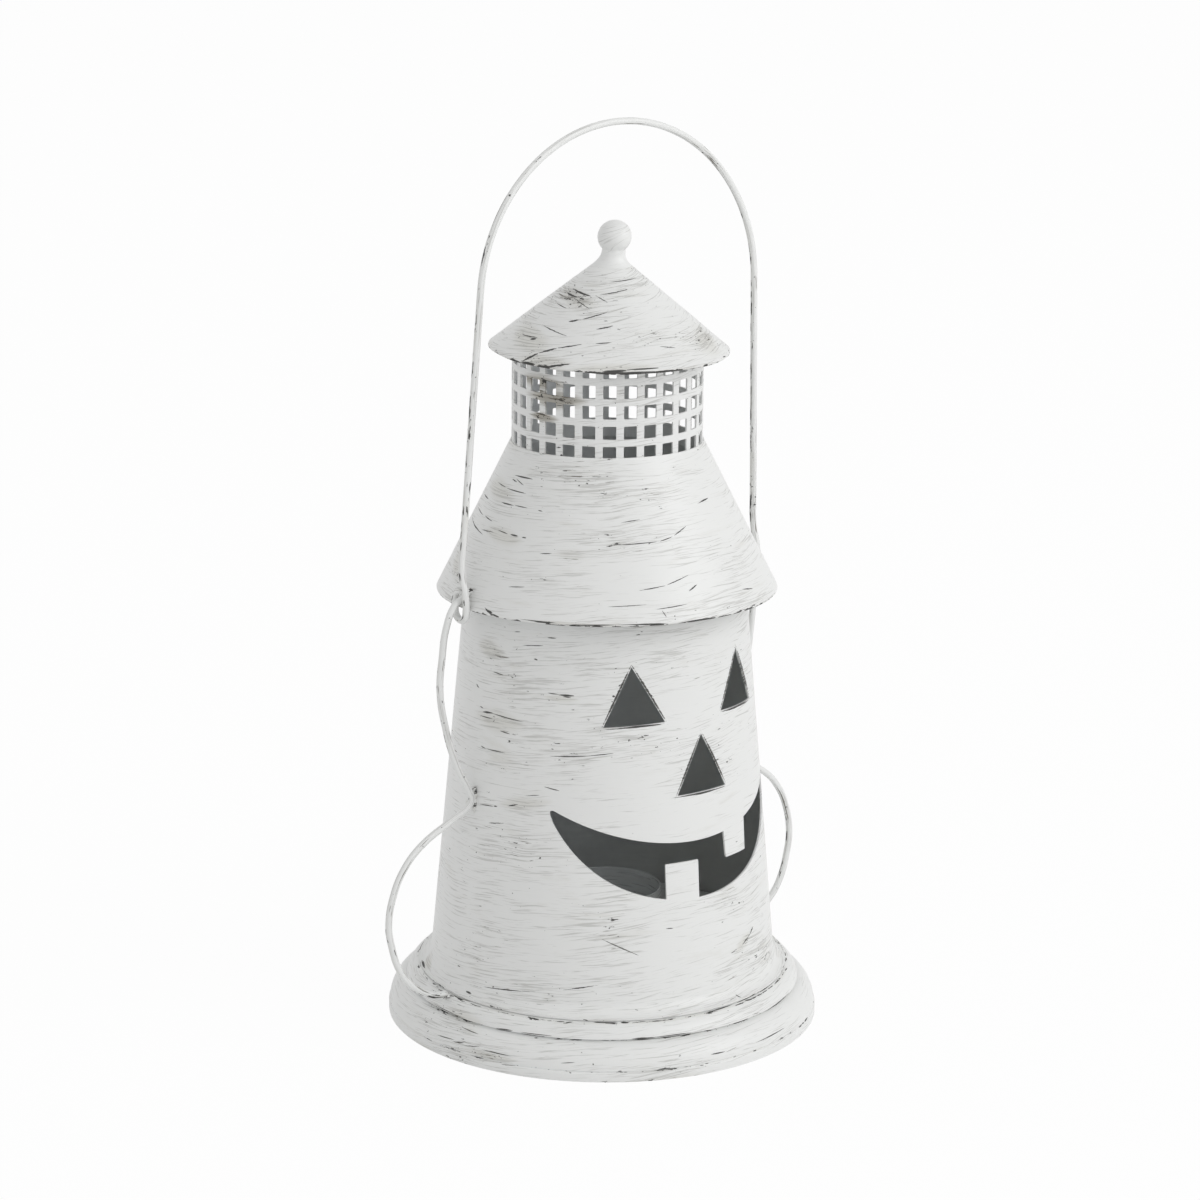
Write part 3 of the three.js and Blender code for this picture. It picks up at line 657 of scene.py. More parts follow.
def faceCutter(outline, azimuth, height, turn=0):
    bpy.ops.object.select_all(action="DESELECT")
    bpy.ops.mesh.primitive_circle_add(vertices=len(outline), fill_type="NGON")
    cutter = bpy.context.object
    for corner, (across, up) in zip(cutter.data.vertices, outline):
        corner.co = Vector((across, 0, up)) * mm
    bpy.ops.object.mode_set(mode="EDIT")
    bpy.ops.mesh.select_all(action="SELECT")
    bpy.ops.mesh.extrude_region_move(TRANSFORM_OT_translate={"value": (0, -2 * body["foot"] * mm, 0)})
    turnFacesOut()
    for edge in cutter.data.edges:
        start, end = (cutter.data.vertices[corner].co for corner in edge.vertices)
        edge.select = abs((end - start).normalized().y) > .9
    for item in (*cutter.data.vertices, *cutter.data.polygons):
        item.select = False
    bpy.ops.object.mode_set(mode="EDIT")
    bpy.ops.mesh.select_mode(type="EDGE")
    bpy.ops.mesh.bevel(offset=face["cornerRound"] * mm, segments=3, affect="EDGES")
    bpy.ops.object.mode_set(mode="OBJECT")
    cutter.data.transform(Matrix.Rotation(math.radians(-turn), 4, "Y"))
    cutter.data.transform(Matrix.Rotation(math.radians(azimuth), 4, "Z"))
    cutter.data.transform(Matrix.Translation((0, 0, height * mm)))
    return cutter


def lipHeight(across, middle, corner, fullness):
    rise = corner - middle
    radius = (face["mouthHalfWidth"] ** 2 + rise ** 2) / (2 * rise)
    share = (across / face["mouthHalfWidth"]) ** 2
    return middle + radius - math.sqrt(radius ** 2 - across ** 2) - 4 * fullness * share * (1 - share)


def mouthCutter():
    bpy.ops.object.select_all(action="DESELECT")
    bpy.ops.mesh.primitive_grid_add(x_subdivisions=face["lipSteps"], y_subdivisions=1, size=2)
    cutter = bpy.context.object
    sheetRadius = bodyRadiusAt((face["upperLip"] + face["lowerLip"]) / 2)
    half = face["cornerOpening"] / 2
    for corner in cutter.data.vertices:
        across = face["mouthHalfWidth"] * math.sin(math.pi / 2 * corner.co.x)
        upper = lipHeight(across, face["upperLip"], face["cornerHeight"] + half, face["upperFullness"])
        lower = lipHeight(across, face["lowerLip"], face["cornerHeight"] - half, face["lowerFullness"])
        # the ends close in a small round
        past = max(abs(across) - face["mouthHalfWidth"] + face["endRound"], 0) / face["endRound"]
        gape = (upper - lower) / 2 * math.sqrt(max(1 - past ** 2, .02))
        height = (upper + lower) / 2 + (gape if corner.co.y > 0 else -gape)
        azimuth = face["mouthAzimuth"] + math.degrees(across / sheetRadius)
        corner.co = outward(azimuth, sheetRadius * .6, height)
    bpy.ops.object.mode_set(mode="EDIT")
    bpy.ops.mesh.select_all(action="SELECT")
    bpy.ops.mesh.extrude_region_move(TRANSFORM_OT_translate={"value": (0, 0, 0)})
    bpy.ops.transform.resize(value=(1.9, 1.9, 1), center_override=(0, 0, 0))
    turnFacesOut()
    return cutter


def triangle(width, height):
    return [(-width / 2, 0), (width / 2, 0), (0, height)]


def edgeMarks(outline, azimuth, height, turn=0):
    # thin worn lines on the sheet along the edges of an opening
    rows = []
    angle = math.radians(turn)
    for start, end in zip(outline, outline[1:] + outline[:1]):
        length = math.hypot(end[0] - start[0], end[1] - start[1])
        spots = []
        for across, up in (start, end):
            across += face["edgeInset"] * (end[1] - start[1]) / length
            up -= face["edgeInset"] * (end[0] - start[0]) / length
            turned = across * math.cos(angle) - up * math.sin(angle)
            up = across * math.sin(angle) + up * math.cos(angle)
            radius = bodyRadiusAt(height + up)
            around = (math.radians(azimuth) + math.asin(turned / radius)) * radius
            spots.append((around, height + up - radius))
        run = (spots[1][0] - spots[0][0], spots[1][1] - spots[0][1])
        slope = math.degrees(math.atan2(run[1], run[0]))
        rows.append(((spots[0][0] + spots[1][0]) / 2, (spots[0][1] + spots[1][1]) / 2,
                     math.hypot(*run) * .54, slope, face["edgeWidth"]))
    return rows


lowerHalf = face["lowerToothWidth"] / 2
lowerRise = face["lowerToothTip"] - face["lowerLip"]
upperRoot = face["upperToothRoot"] / 2
upperEnd = face["upperToothEnd"] / 2
upperDrop = face["upperLip"] - face["upperToothTip"]
mouth = mouthCutter()
cutAway(mouth, faceCutter(
    [(-lowerHalf, -lowerRise), (lowerHalf, -lowerRise), (lowerHalf, lowerRise), (-lowerHalf, lowerRise)],
    face["lowerToothAzimuth"], face["lowerLip"]))
cutAway(mouth, faceCutter(
    [(-upperEnd, 0), (upperEnd, 0), (upperRoot, 2 * upperDrop), (-upperRoot, 2 * upperDrop)],
    face["upperToothAzimuth"], face["upperToothTip"]))
eye = triangle(face["eyeWidth"], face["eyeHeight"])
cutters = [
    faceCutter(eye, -face["eyeAzimuth"], face["eyeBottom"], face["eyeTurn"]),
    faceCutter(eye, face["eyeAzimuth"], face["eyeBottom"], -face["eyeTurn"]),
    faceCutter(triangle(face["noseWidth"], face["noseHeight"]), face["noseAzimuth"], face["noseBottom"]),
]
joinPieces(mouth, cutters)
cutAway(bodyPiece, mouth)
smoothFaces(bodyPiece)


def isBodyInside(sheetFace):
    reach = math.hypot(sheetFace.center.x, sheetFace.center.y) / mm
    return outwardTurn(sheetFace) < -.8 and reach < bodyRadiusAt(sheetFace.center.z / mm) - body["sheet"] * .7


rubLines(bodyPiece, body["rubs"])
nose = triangle(face["noseWidth"], face["noseHeight"])
edgeRows = [
    *edgeMarks(eye, -face["eyeAzimuth"], face["eyeBottom"], face["eyeTurn"]),
    *edgeMarks(eye, face["eyeAzimuth"], face["eyeBottom"], -face["eyeTurn"]),
    *edgeMarks(nose, face["noseAzimuth"], face["noseBottom"]),
]
bodyPaint = makePaint("bodyPaint", seed=21, marks=body["marks"] + edgeRows, stains=body["stains"])
paintFaces(bodyPiece, bodyPaint, insideGrey, isBodyInside)
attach(bodyPiece, "lantern")
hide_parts("body_shell")
print("body made")

# Hood: a cone with a hemmed rim that hangs out over the body
hood = {
    "rimHeight": 193.5, "rimReach": 74, "top": 258.9, "topRadius": 41.8, "hole": 41.22,
    "lean": 1.7, "leanAzimuth": 158.2,
    "hem": .8, "hemHeight": 4, "sheet": .8, "rings": 30, "steps": 240, "seamHalf": 2.3, "seamRise": .4,
    "marks": [
        (-69.7, 202, 6.8, 3, .39), (-76.5, 198.7, 2, -16, .34), (-72.7, 198.7, 3, -28, .31),
        (-87.9, 193.6, 5.3, -3, .28), (-75.9, 193.1, 7.7, 0, .26), (-104.9, 182.6, 4.4, -1, .37),
        (-82.7, 184.6, 4.8, 2, .36), (-73.7, 185.1, 4.1, 1, .26), (-63.3, 184.8, 1.2, -3, .3),
        (-109.2, 173.8, 5.5, -8, .33), (-98.2, 172.8, 3.9, -9, .29), (-111.9, 165.1, 10, -12, .33),
        (-98.6, 166.1, 4.9, 6, .24), (-86.8, 168.4, 3.3, -7, .27), (-80, 168.1, 2.5, 0, .4),
        (-74.6, 167.9, 1.2, 1, .33), (-83.4, 139.1, 5.2, 10, .24), (-65.5, 160.5, 3.3, 10, .25),
        (-102.4, 122.9, 1.9, -42, .5), (-100.9, 121.7, 2.2, -40, 1), (-98.3, 120.8, 2.6, -12, .45),
        (14, 187.6, 4.6, 11, .35), (-24.4, 181.3, 5.2, 10, .25), (-23.5, 167.9, 9.3, 3, .26),
        (-11.1, 169.4, 4.2, 18, .24), (-3.9, 172.9, 4.6, 32, .24), (-23.5, 141.5, 7, 9, .25),
        (-11.5, 144.8, 6.5, 21, .24), (-5.5, 139.2, 3.3, 34, .32), (26.2, 131.2, 4.6, -13, .31),
        (-35.5, 131.9, 8.7, 2, .26), (-17.7, 129.7, 7.5, 5, .26), (-22, 126.2, 2.2, -75, .22),
        (-76, 121, 9, 0, .34), (-55, 120.7, 11, 1, .3), (-31, 120.8, 12, -1, .34), (-8, 120.5, 8, 1, .28),
    ],
    "stains": [(-90, 190, 16, 0, 9), (-88, 166, 14, 0, 7), (-126, 140, 10, 0, 12), (-60, 121, 26, 0, 1.6)],
}
hemCentre = (hood["rimReach"] - hood["hem"], hood["rimHeight"] + hood["hem"])
hoodTaper = (hood["rimReach"] - hood["topRadius"]) / (hood["top"] - hemCentre[1])
hoodTilt = math.degrees(math.atan(hoodTaper))
hemLine = arcPoints(hemCentre, (hood["hem"], hood["hem"]), hoodTilt, hoodTilt - 180, 10)
hemTop = (hemLine[-1][0] - hoodTaper * hood["hemHeight"], hemLine[-1][1] + hood["hemHeight"])
sheetIn = hood["sheet"] * math.hypot(1, hoodTaper)
hoodLine = [
    *linePoints((hood["topRadius"], hood["top"]), hemLine[0], hood["rings"])[:-1],
    *hemLine,
    hemTop,
    (hemTop[0] + sheetIn * .9, hemTop[1] + hood["sheet"] * .4),
    (hood["hole"] + .1, hood["top"] - (sheetIn + hood["hole"] - hood["topRadius"] + .1) / hoodTaper),
    (hood["hole"], hood["top"]),
    (hood["topRadius"], hood["top"]),
]
hoodPiece = spinProfile("shoulderHood", hoodLine, hood["steps"])
raiseSeam(hoodPiece, hood["seamHalf"], hood["seamRise"])
smoothFaces(hoodPiece)
rubLines(hoodPiece, [
    (hemCentre[0] + hood["hem"] * .6, hemCentre[1] - hood["hem"] * .7, .75, 1.1),
    (hood["topRadius"], hood["top"], .7, .5),
])
hoodTop = Matrix.Translation((0, 0, hood["top"] * mm))
hoodPiece.data.transform(hoodTop @ leanToward(hood["lean"], hood["leanAzimuth"]) @ hoodTop.inverted())
hoodPaint = makePaint("hoodPaint", seed=41, marks=hood["marks"], stains=hood["stains"])
paintFaces(hoodPiece, hoodPaint, insideGrey, lambda sheetFace: (
    sheetFace.normal.z < -.3 and outwardTurn(sheetFace) < 0))
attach(hoodPiece, "lantern")
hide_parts("shoulder_hood")
print("hood made")

# Vent collar: one column of punched holes, repeated round the axis
collar = {
    "radius": 41.2, "bottom": 250.9, "top": 306.11, "sheet": .8, "columns": 29, "rows": 5,
    "hole": 5.7, "firstHole": 262.05, "rowPitch": 8.74, "holeCorner": .45, "turn": 2.2,
    "rubs": [(41.2, 259.2, .7, .5)],
    "stains": [(-57, 249, 16, 0, 5), (-50, 243, 18, 0, 6), (-56, 234, 10, 0, 3)],
}
halfColumn = collar["radius"] * math.sin(math.radians(180 / collar["columns"]))
columnHeight = collar["top"] - collar["bottom"]
bpy.ops.object.select_all(action="DESELECT")
bpy.ops.mesh.primitive_plane_add(size=1, rotation=(math.radians(90), 0, 0))
collarPiece = startPiece("ventCollar")
bpy.ops.object.transform_apply(location=True, rotation=True, scale=True)
bpy.ops.object.mode_set(mode="EDIT")
bpy.ops.transform.resize(value=(2 * halfColumn * mm, 1, columnHeight * mm), center_override=(0, 0, 0))
bpy.ops.transform.translate(value=(0, -collar["radius"] * mm, (collar["bottom"] + columnHeight / 2) * mm))
cuts = [((across * mm, 0, 0), (1, 0, 0)) for across in (-collar["hole"] / 2, 0, collar["hole"] / 2)]
for row in range(collar["rows"]):
    middle = collar["firstHole"] + row * collar["rowPitch"]
    cuts += [((0, 0, (middle + side * collar["hole"] / 2) * mm), (0, 0, 1)) for side in (-1, 1)]
for cutPlace, cutNormal in cuts:
    bpy.ops.mesh.select_all(action="SELECT")
    bpy.ops.mesh.bisect(plane_co=cutPlace, plane_no=cutNormal)
bpy.ops.object.mode_set(mode="OBJECT")


def inHole(spot, margin):
    row = round((spot.z / mm - collar["firstHole"]) / collar["rowPitch"])
    row = min(max(row, 0), collar["rows"] - 1)
    up = abs(spot.z / mm - collar["firstHole"] - row * collar["rowPitch"])
    return abs(spot.x) / mm < collar["hole"] / 2 + margin and up < collar["hole"] / 2 + margin


bpy.ops.object.mode_set(mode="EDIT")
bpy.ops.mesh.select_mode(type="VERT")
bpy.ops.mesh.select_all(action="DESELECT")
bpy.ops.object.mode_set(mode="OBJECT")
for corner in collarPiece.data.vertices:
    corner.select = inHole(corner.co, .02) and abs(corner.co.x) / mm > 1
bpy.ops.object.mode_set(mode="EDIT")
bpy.ops.mesh.bevel(offset=collar["holeCorner"] * mm, segments=3, affect="VERTICES")
bpy.ops.object.mode_set(mode="OBJECT")
selectFaces(collarPiece, lambda sheetFace: inHole(sheetFace.center, -.4))
bpy.ops.mesh.delete(type="FACE")
bpy.ops.object.mode_set(mode="OBJECT")
for corner in collarPiece.data.vertices:
    corner.co.y = -math.sqrt((collar["radius"] * mm) ** 2 - corner.co.x ** 2)
bpy.ops.object.mode_set(mode="EDIT")
bpy.ops.mesh.select_all(action="SELECT")
turnOnce = math.tau / collar["columns"]
bpy.ops.mesh.spin(steps=collar["columns"] - 1, dupli=True, angle=math.tau - turnOnce,
                  center=(0, 0, 0), axis=(0, 0, 1))
bpy.ops.mesh.select_all(action="SELECT")
bpy.ops.mesh.remove_doubles(threshold=.00002)
turnFacesOut()
if outwardTurn(collarPiece.data.polygons[0]) < 0:
    collarPiece.data.flip_normals()
useModifier(collarPiece, "SOLIDIFY", thickness=collar["sheet"] * mm, offset=-1, use_even_offset=True)
smoothFaces(collarPiece)
collarPiece.data.transform(Matrix.Rotation(math.radians(collar["turn"]), 4, "Z"))
rubLines(collarPiece, collar["rubs"])
collarPaint = makePaint("collarPaint", seed=61, smear=(.34, .31, .25), smearDepth=.12, stainShare=.85,
                        stainDepth=.15, stains=collar["stains"])
paintFaces(collarPiece, collarPaint, insideGrey, lambda sheetFace: outwardTurn(sheetFace) < -.9)
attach(collarPiece, "lantern")
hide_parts("vent_collar")
print("collar made")

# Roof: a cone with a hemmed, slightly wavy rim, crooked on its collar
roof = {
    "rise": 1.35, "pitch": .813, "sheetHeight": 1.031, "rim": 51.9, "hem": .8, "hemReach": 48,
    "neck": 7.1, "shaft": 2.8, "tilt": 1.2, "tiltAzimuth": 53.5, "shift": .65, "wave": .25,
    "rings": 26, "steps": 256,
    "marks": [
        (-24.7, 306.3, 5.4, -24, .8), (-31.1, 303.5, 3.8, -15, .76), (-26.9, 298, 4.4, -54, .38),
        (-16.7, 302.9, 3.3, -57, .34), (-9.1, 308, 8.7, 16, .32), (-35, 284.8, 3.4, 23, .43),
        (-24.7, 289.3, 9, 26, .33), (-48.3, 275.2, 7, -23, .46), (-23.3, 280.7, 4.6, 19, .41),
        (-67.7, 252.6, 8.1, 36, .51), (-55.8, 260, 7, 27, .5), (-43.7, 265.2, 8, 20, .39),
        (-27.7, 269.2, 4.4, 11, .31), (-54.4, 249.9, 8.6, 19, .65), (-64.9, 267.5, 6.4, 5, .37),
        (-62.4, 266.4, 2.6, 23, .58), (-39.6, 294.3, 3.7, -18, .38), (-39, 247, 3.9, 11, .36),
        (-29.9, 248.2, 6.2, 8, 1.01), (-17.1, 249.3, 7.6, 0, .53), (-.5, 263.6, 4.2, -20, .35),
        (-1.7, 316.6, 8.1, 3, .33), (-38, 246.8, 7, 2, .55), (-22, 247.1, 10, 0, .6), (-8, 246.8, 6, -2, .4),
    ],
    "stains": [
        (-66, 266, 16, 10, 17), (-62, 252, 18, 5, 8), (-30, 250, 22, 4, 5), (-30, 302, 13, -20, 14),
        (26, 262, 14, -10, 16),
    ],
}
roofSeat = Matrix.Translation(outward(roof["tiltAzimuth"], roof["shift"], collar["top"]))
roofPlace = roofSeat @ leanToward(roof["tilt"], roof["tiltAzimuth"])


def roofUnder(radius):
    return roof["rise"] + (collar["radius"] - radius) * roof["pitch"]


def roofOver(radius):
    return roofUnder(radius) + roof["sheetHeight"]


rimMiddle = (roof["rim"] - roof["hem"], roofOver(roof["rim"] - roof["hem"]) - roof["hem"] * 1.25)
roofLine = [
    (roof["shaft"], roofOver(8.4) + .5),
    (roof["neck"], roofOver(8.4) + .5),
    *linePoints((8.6, roofOver(8.6)), (roof["rim"] - 1.3, roofOver(roof["rim"] - 1.3)), roof["rings"]),
    *arcPoints(rimMiddle, (roof["hem"], roof["hem"]), 50, -130, 10),
    (roof["hemReach"], roofUnder(roof["hemReach"]) - roof["hem"] * 1.1),
    (roof["hemReach"] - .4, roofUnder(roof["hemReach"] - .4)),
    *linePoints((roof["hemReach"] - .5, roofUnder(roof["hemReach"] - .5)), (8.2, roofUnder(8.2)), 14),
    (roof["neck"] - .8, roofOver(8.4) - .3),
    (roof["shaft"], roofOver(8.4) - .3),
    (roof["shaft"], roofOver(8.4) + .5),
]
roofPiece = spinProfile("roofCap", roofLine, roof["steps"])
for corner in roofPiece.data.vertices:
    reach = math.hypot(corner.co.x, corner.co.y) / mm
    turn = math.atan2(corner.co.x, -corner.co.y)
    share = smoothStep(30, roof["rim"], reach)
    sway = math.sin(3 * turn + .6) + .6 * math.sin(7 * turn + 2.1) + .35 * math.sin(13 * turn)
    corner.co.z += roof["wave"] * share * sway * mm
rubLines(roofPiece, [
    (roof["rim"] - .2, rimMiddle[1] - roof["hem"] * .5, .9, 1),
    (roof["neck"] + .8, roofOver(8.4), .8, .5),
])
roofPiece.data.transform(roofPlace)
smoothFaces(roofPiece)
roofPaint = makePaint("roofPaint", seed=81, wear=.02, slant=12, hairDepth=.55, speckCut=.725, stainShare=.32,
                      stainDepth=.05, marks=roof["marks"], stains=roof["stains"])
paintFaces(roofPiece, roofPaint, insideGrey, lambda sheetFace: sheetFace.normal.z < -.3 and (
    math.hypot(sheetFace.center.x, sheetFace.center.y) / mm < roof["hemReach"]))
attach(roofPiece, "lantern")
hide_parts("roof_cap")
print("roof made")

# Solder: two lumpy runs between the collar and the roof
solder = {
    "azimuths": {"front": 31, "back": 211},
    "span": 30, "inside": 41.8, "reach": 6, "drop": 5.5, "gap": 1.1,
}
for place, azimuth in solder["azimuths"].items():
    inside = solder["inside"]
    foot = roofUnder(inside) - solder["gap"]
    solderLine = [
        (inside, foot), (inside, foot - solder["drop"] * .5), (inside, foot - solder["drop"]),
        (inside + .8, foot - solder["drop"]), (inside + 1.3, foot - solder["drop"] * .78),
        (inside + 2, foot - solder["drop"] * .5), (inside + 3.6, foot - solder["drop"] * .45 - .6),
        (inside + solder["reach"], roofUnder(inside + solder["reach"]) - solder["gap"]), (inside, foot),
    ]
    solderPiece = spinProfile("roofSolder" + place.title(), solderLine, 180)
    low = azimuth - solder["span"] / 2

    def isOutOfSpan(lump, low=low):
        turn = math.degrees(math.atan2(lump.center.x, -lump.center.y))
        return (turn - low) % 360 > solder["span"]

    selectFaces(solderPiece, isOutOfSpan)
    bpy.ops.mesh.delete(type="FACE")
    bpy.ops.mesh.select_all(action="SELECT")
    bpy.ops.mesh.select_mode(type="EDGE")
    bpy.ops.mesh.select_non_manifold()
    bpy.ops.mesh.fill_holes(sides=0)
    turnFacesOut()
    solderPiece.data.transform(roofPlace)
    smoothFaces(solderPiece, 50)
    solderPaint = makePaint("solderPaint" + place.title(), seed=95, wear=.06, smear=(.34, .31, .22))
    paintFaces(solderPiece, solderPaint)
    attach(solderPiece, "lantern")
    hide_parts("roof_solder_" + place)

# Finial: a ball on a flared neck, a little off the middle
finial = {
    "seat": 30.17, "knobRadius": 7.3, "knobHalf": 7.15, "knobHeight": 11.09,
    "shift": .6, "lean": 1.2, "shank": 2.5, "shankLength": 7.3, "steps": 96,
}
finialLine = [
    *arcPoints((0, finial["knobHeight"]), (finial["knobRadius"], finial["knobHalf"]), 90, -45, 26),
    (5.07, 5.6), (5.1, 4.9), (5.15, 4.1), (5.3, 3.2), (5.6, 2.3), (6.1, 1.4), (6.8, .5), (7.6, -.35),
    (8.5, -1.2), (8.3, -1.35), (7.6, -.9), (7.3, -.6), (finial["shank"], -.6),
    (finial["shank"], -finial["shankLength"]), (0, -finial["shankLength"]),
]
finialLine[0] = (0, finialLine[0][1])
finialPiece = spinProfile("finialKnob", finialLine, finial["steps"])
finialWay = outward(roof["tiltAzimuth"], 1, 0)
finialSlope = math.tan(math.radians(finial["lean"]))
for corner in finialPiece.data.vertices:
    height = corner.co.z / mm
    push = finial["shift"] * smoothStep(-1, 6, height) + max(height, 0) * finialSlope
    corner.co += finialWay * push
finialPiece.data.transform(roofPlace @ Matrix.Translation((0, 0, finial["seat"] * mm)))
smoothFaces(finialPiece, 50)
finialPaint = makePaint("finialPaint", seed=101, wear=-.08)
paintFaces(finialPiece, finialPaint)
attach(finialPiece, "lantern")
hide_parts("finial")
print("finial made")

# Candle cup
cup = {
    "radius": 23.8, "height": 22.2, "wall": .6, "place": (1.527, -1.130, 34.3), "hole": 1.9,
    "ringIn": 5.8, "ringOut": 20.2, "ringRise": 1.6, "steps": 160,
}
outer = cup["radius"]
thin = cup["wall"]
cupLine = [
    (cup["hole"], thin), (cup["ringIn"] - 1.1, thin), (cup["ringIn"] - .8, thin + .15),
    (cup["ringIn"] - .2, thin + cup["ringRise"] - .15), (cup["ringIn"] + .2, thin + cup["ringRise"]),
    (cup["ringOut"] - .2, thin + cup["ringRise"]), (cup["ringOut"] + .2, thin + cup["ringRise"] - .15),
    (cup["ringOut"] + .8, thin + .15), (cup["ringOut"] + 1.1, thin), (outer - thin - 1.2, thin),
    *arcPoints((outer - thin - 1.2, thin + 1.2), (1.2, 1.2), -90, 0, 6),
    *linePoints((outer - thin, 3), (outer - thin, cup["height"] - .4), 5),
    *arcPoints((outer - thin / 2, cup["height"] - thin / 2), (thin / 2, thin / 2), 180, 0, 6),
    *linePoints((outer, cup["height"] - .5), (outer, 2), 5),
    *arcPoints((outer - 1.8, 1.8), (1.8, 1.8), 0, -90, 7),
    (cup["ringOut"] + .8, 0), (cup["ringOut"] - .3, cup["ringRise"]), (cup["ringIn"] + .3, cup["ringRise"]),
    (cup["ringIn"] - .8, 0), (cup["hole"], 0), (cup["hole"], thin),
]
cupPiece = spinProfile("candleCup", cupLine, cup["steps"])
cupPiece.data.transform(Matrix.Translation(Vector(cup["place"]) * mm))
smoothFaces(cupPiece)
paintFaces(cupPiece, vesselGrey)
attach(cupPiece, "lantern")
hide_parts("candle_cup")
for node in ("cup_rivet", "finial_nut"):
    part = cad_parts[node]
    for slot in part.material_slots:
        slot.material = steelGrey
print("cup made")

# Wires
wire = {"radius": 1.5, "sides": 7, "pivot": 198.8, "sideLine": .62, "solderWear": .7}


def sweepWire(name, points, wornSpots):
    # a rod along the points, with eased ends and the way along it kept for the paint
    curveData = bpy.data.curves.new(name, "CURVE")
    curveData.dimensions = "3D"
    curveData.resolution_u = 5
    curveData.bevel_depth = wire["radius"] * mm
    curveData.bevel_resolution = wire["sides"]
    curveData.use_fill_caps = True
    spline = curveData.splines.new("BEZIER")
    first = points[0] + (points[0] - points[1]).normalized() * .45
    last = points[-1] + (points[-1] - points[-2]).normalized() * .45
    points = [first, *points, last]
    spline.bezier_points.add(len(points) - 1)
    for spot, point in zip(spline.bezier_points, points):
        spot.co = Vector(point) * mm
        spot.handle_left_type = "AUTO"
        spot.handle_right_type = "AUTO"
    spline.bezier_points[0].radius = .62
    spline.bezier_points[-1].radius = .62
    piece = bpy.data.objects.new(name, curveData)
    bpy.context.scene.collection.objects.link(piece)
    pickPiece(piece)
    bpy.ops.object.convert(target="MESH")
    piece = bpy.context.object
    radius = wire["radius"] * mm
    # the curve's bevel makes this many corners in each ring
    ringSize = 2 * wire["sides"] + 4
    mesh = piece.data
    ways = []
    sides = []
    travelled = 0
    before = None
    for start in range(0, len(mesh.vertices), ringSize):
        ring = [mesh.vertices[index].co for index in range(start, min(start + ringSize, len(mesh.vertices)))]
        middle = sum(ring, Vector()) / len(ring)
        if before:
            travelled += (middle - before).length
        before = middle
        for index, corner in enumerate(ring):
            angle = math.tau * index / len(ring)
            ways.append((travelled, radius * math.cos(angle), radius * math.sin(angle)))
            sides.append(abs((corner - middle).normalized().x))
    flat = [part for way in ways for part in way]
    mesh.attributes.new("alongWire", "FLOAT_VECTOR", "POINT").data.foreach_set("vector", flat)
    # the paint is rubbed near the given spots, and darkened in a thin line along the sides that face ±X
    rubs = []
    for way, side in zip(ways, sides):
        rub = wire["sideLine"] * smoothStep(.8, 1, side)
        for spot, width, strength in wornSpots:
            start = spot * mm + (travelled if spot < 0 else 0)
            rub = max(rub, strength * math.exp(-((way[0] - start) / (width * mm)) ** 2))
        rubs.append(rub)
    mesh.attributes.new("rub", "FLOAT", "POINT").data.foreach_set("value", rubs)
    smoothFaces(piece, 60)
    return piece


def addSolder(piece, spots):
    # lumps of solder, painted with the wire that they hold
    lumps = []
    for place, size, azimuth in spots:
        bpy.ops.object.select_all(action="DESELECT")
        bpy.ops.mesh.primitive_uv_sphere_add(segments=24, ring_count=14, radius=1)
        lump = bpy.context.object
        for corner in lump.data.vertices:
            across, out, up = corner.co
            wave = 1 + .10 * math.sin(4 * up + 2 * across) + .07 * math.sin(5 * across - 3 * out)
            corner.co = Vector((across * size[0], out * size[1], up * size[2])) * wave * mm
        lump.data.transform(Matrix.Rotation(math.radians(azimuth), 4, "Z"))
        lump.data.transform(Matrix.Translation(place))
        corners = lump.data.vertices
        flat = [part for corner in corners for part in corner.co]
        lump.data.attributes.new("alongWire", "FLOAT_VECTOR", "POINT").data.foreach_set("vector", flat)
        rubs = [wire["solderWear"]] * len(corners)
        lump.data.attributes.new("rub", "FLOAT", "POINT").data.foreach_set("value", rubs)
        smoothFaces(lump, 80)
        lumps.append(lump)
    joinPieces(piece, lumps)


wirePaintLook = {
    "attribute": "alongWire",
    "hairScale": (22, 900, 900), "dashScale": (34, 620, 620), "boldScale": (30, 520, 520),
    "rubScale": (130, 800, 800), "speckScale": (520, 520, 520), "patchScale": (26, 420, 420), "wander": .0004,
    "slant": 0, "hairDepth": .4, "patchDepth": .3, "rubDepth": .26,
    "dashCut": .66, "boldCut": .72, "rubCut": .70, "speckCut": .72,
}

# Bail: an arch between two legs, each ending in an eye round a scroll's upper end
bail = {
    "eyes": (-76.6, 80.4), "loop": 4.15, "loopDrop": 4.8, "legOffset": 1.5, "archRadius": 73.1,
    "archCentre": 123, "archShift": 9.65, "archOffset": .8, "archSteps": 72, "lean": -2.5,
    "legBend": [(0, 0), (.2, 4), (.7, 8), (1, 14)],
    "worn": [(12, 16, 1), (-12, 16, 1), (230, 30, .35)],
}


def eyePoints(reach):
    points = []
    loop = bail["loop"]
    for start, end, height, count in ((86, 0, 0, 6), (0, -180, -bail["loopDrop"], 14)):
        for across, up in arcPoints((0, height), (loop, loop), start, end, count):
            points.append(Vector((reach, across, up)))
    for share, height in bail["legBend"]:
        points.append(Vector((reach, -bail["loop"] + (bail["loop"] - bail["legOffset"]) * share, height)))
    return points


def tangentAngle(start, centre, side):
    run = (start[0] - centre[0], start[1] - centre[1])
    return math.atan2(run[1], run[0]) + side * math.acos(bail["archRadius"] / math.hypot(*run))


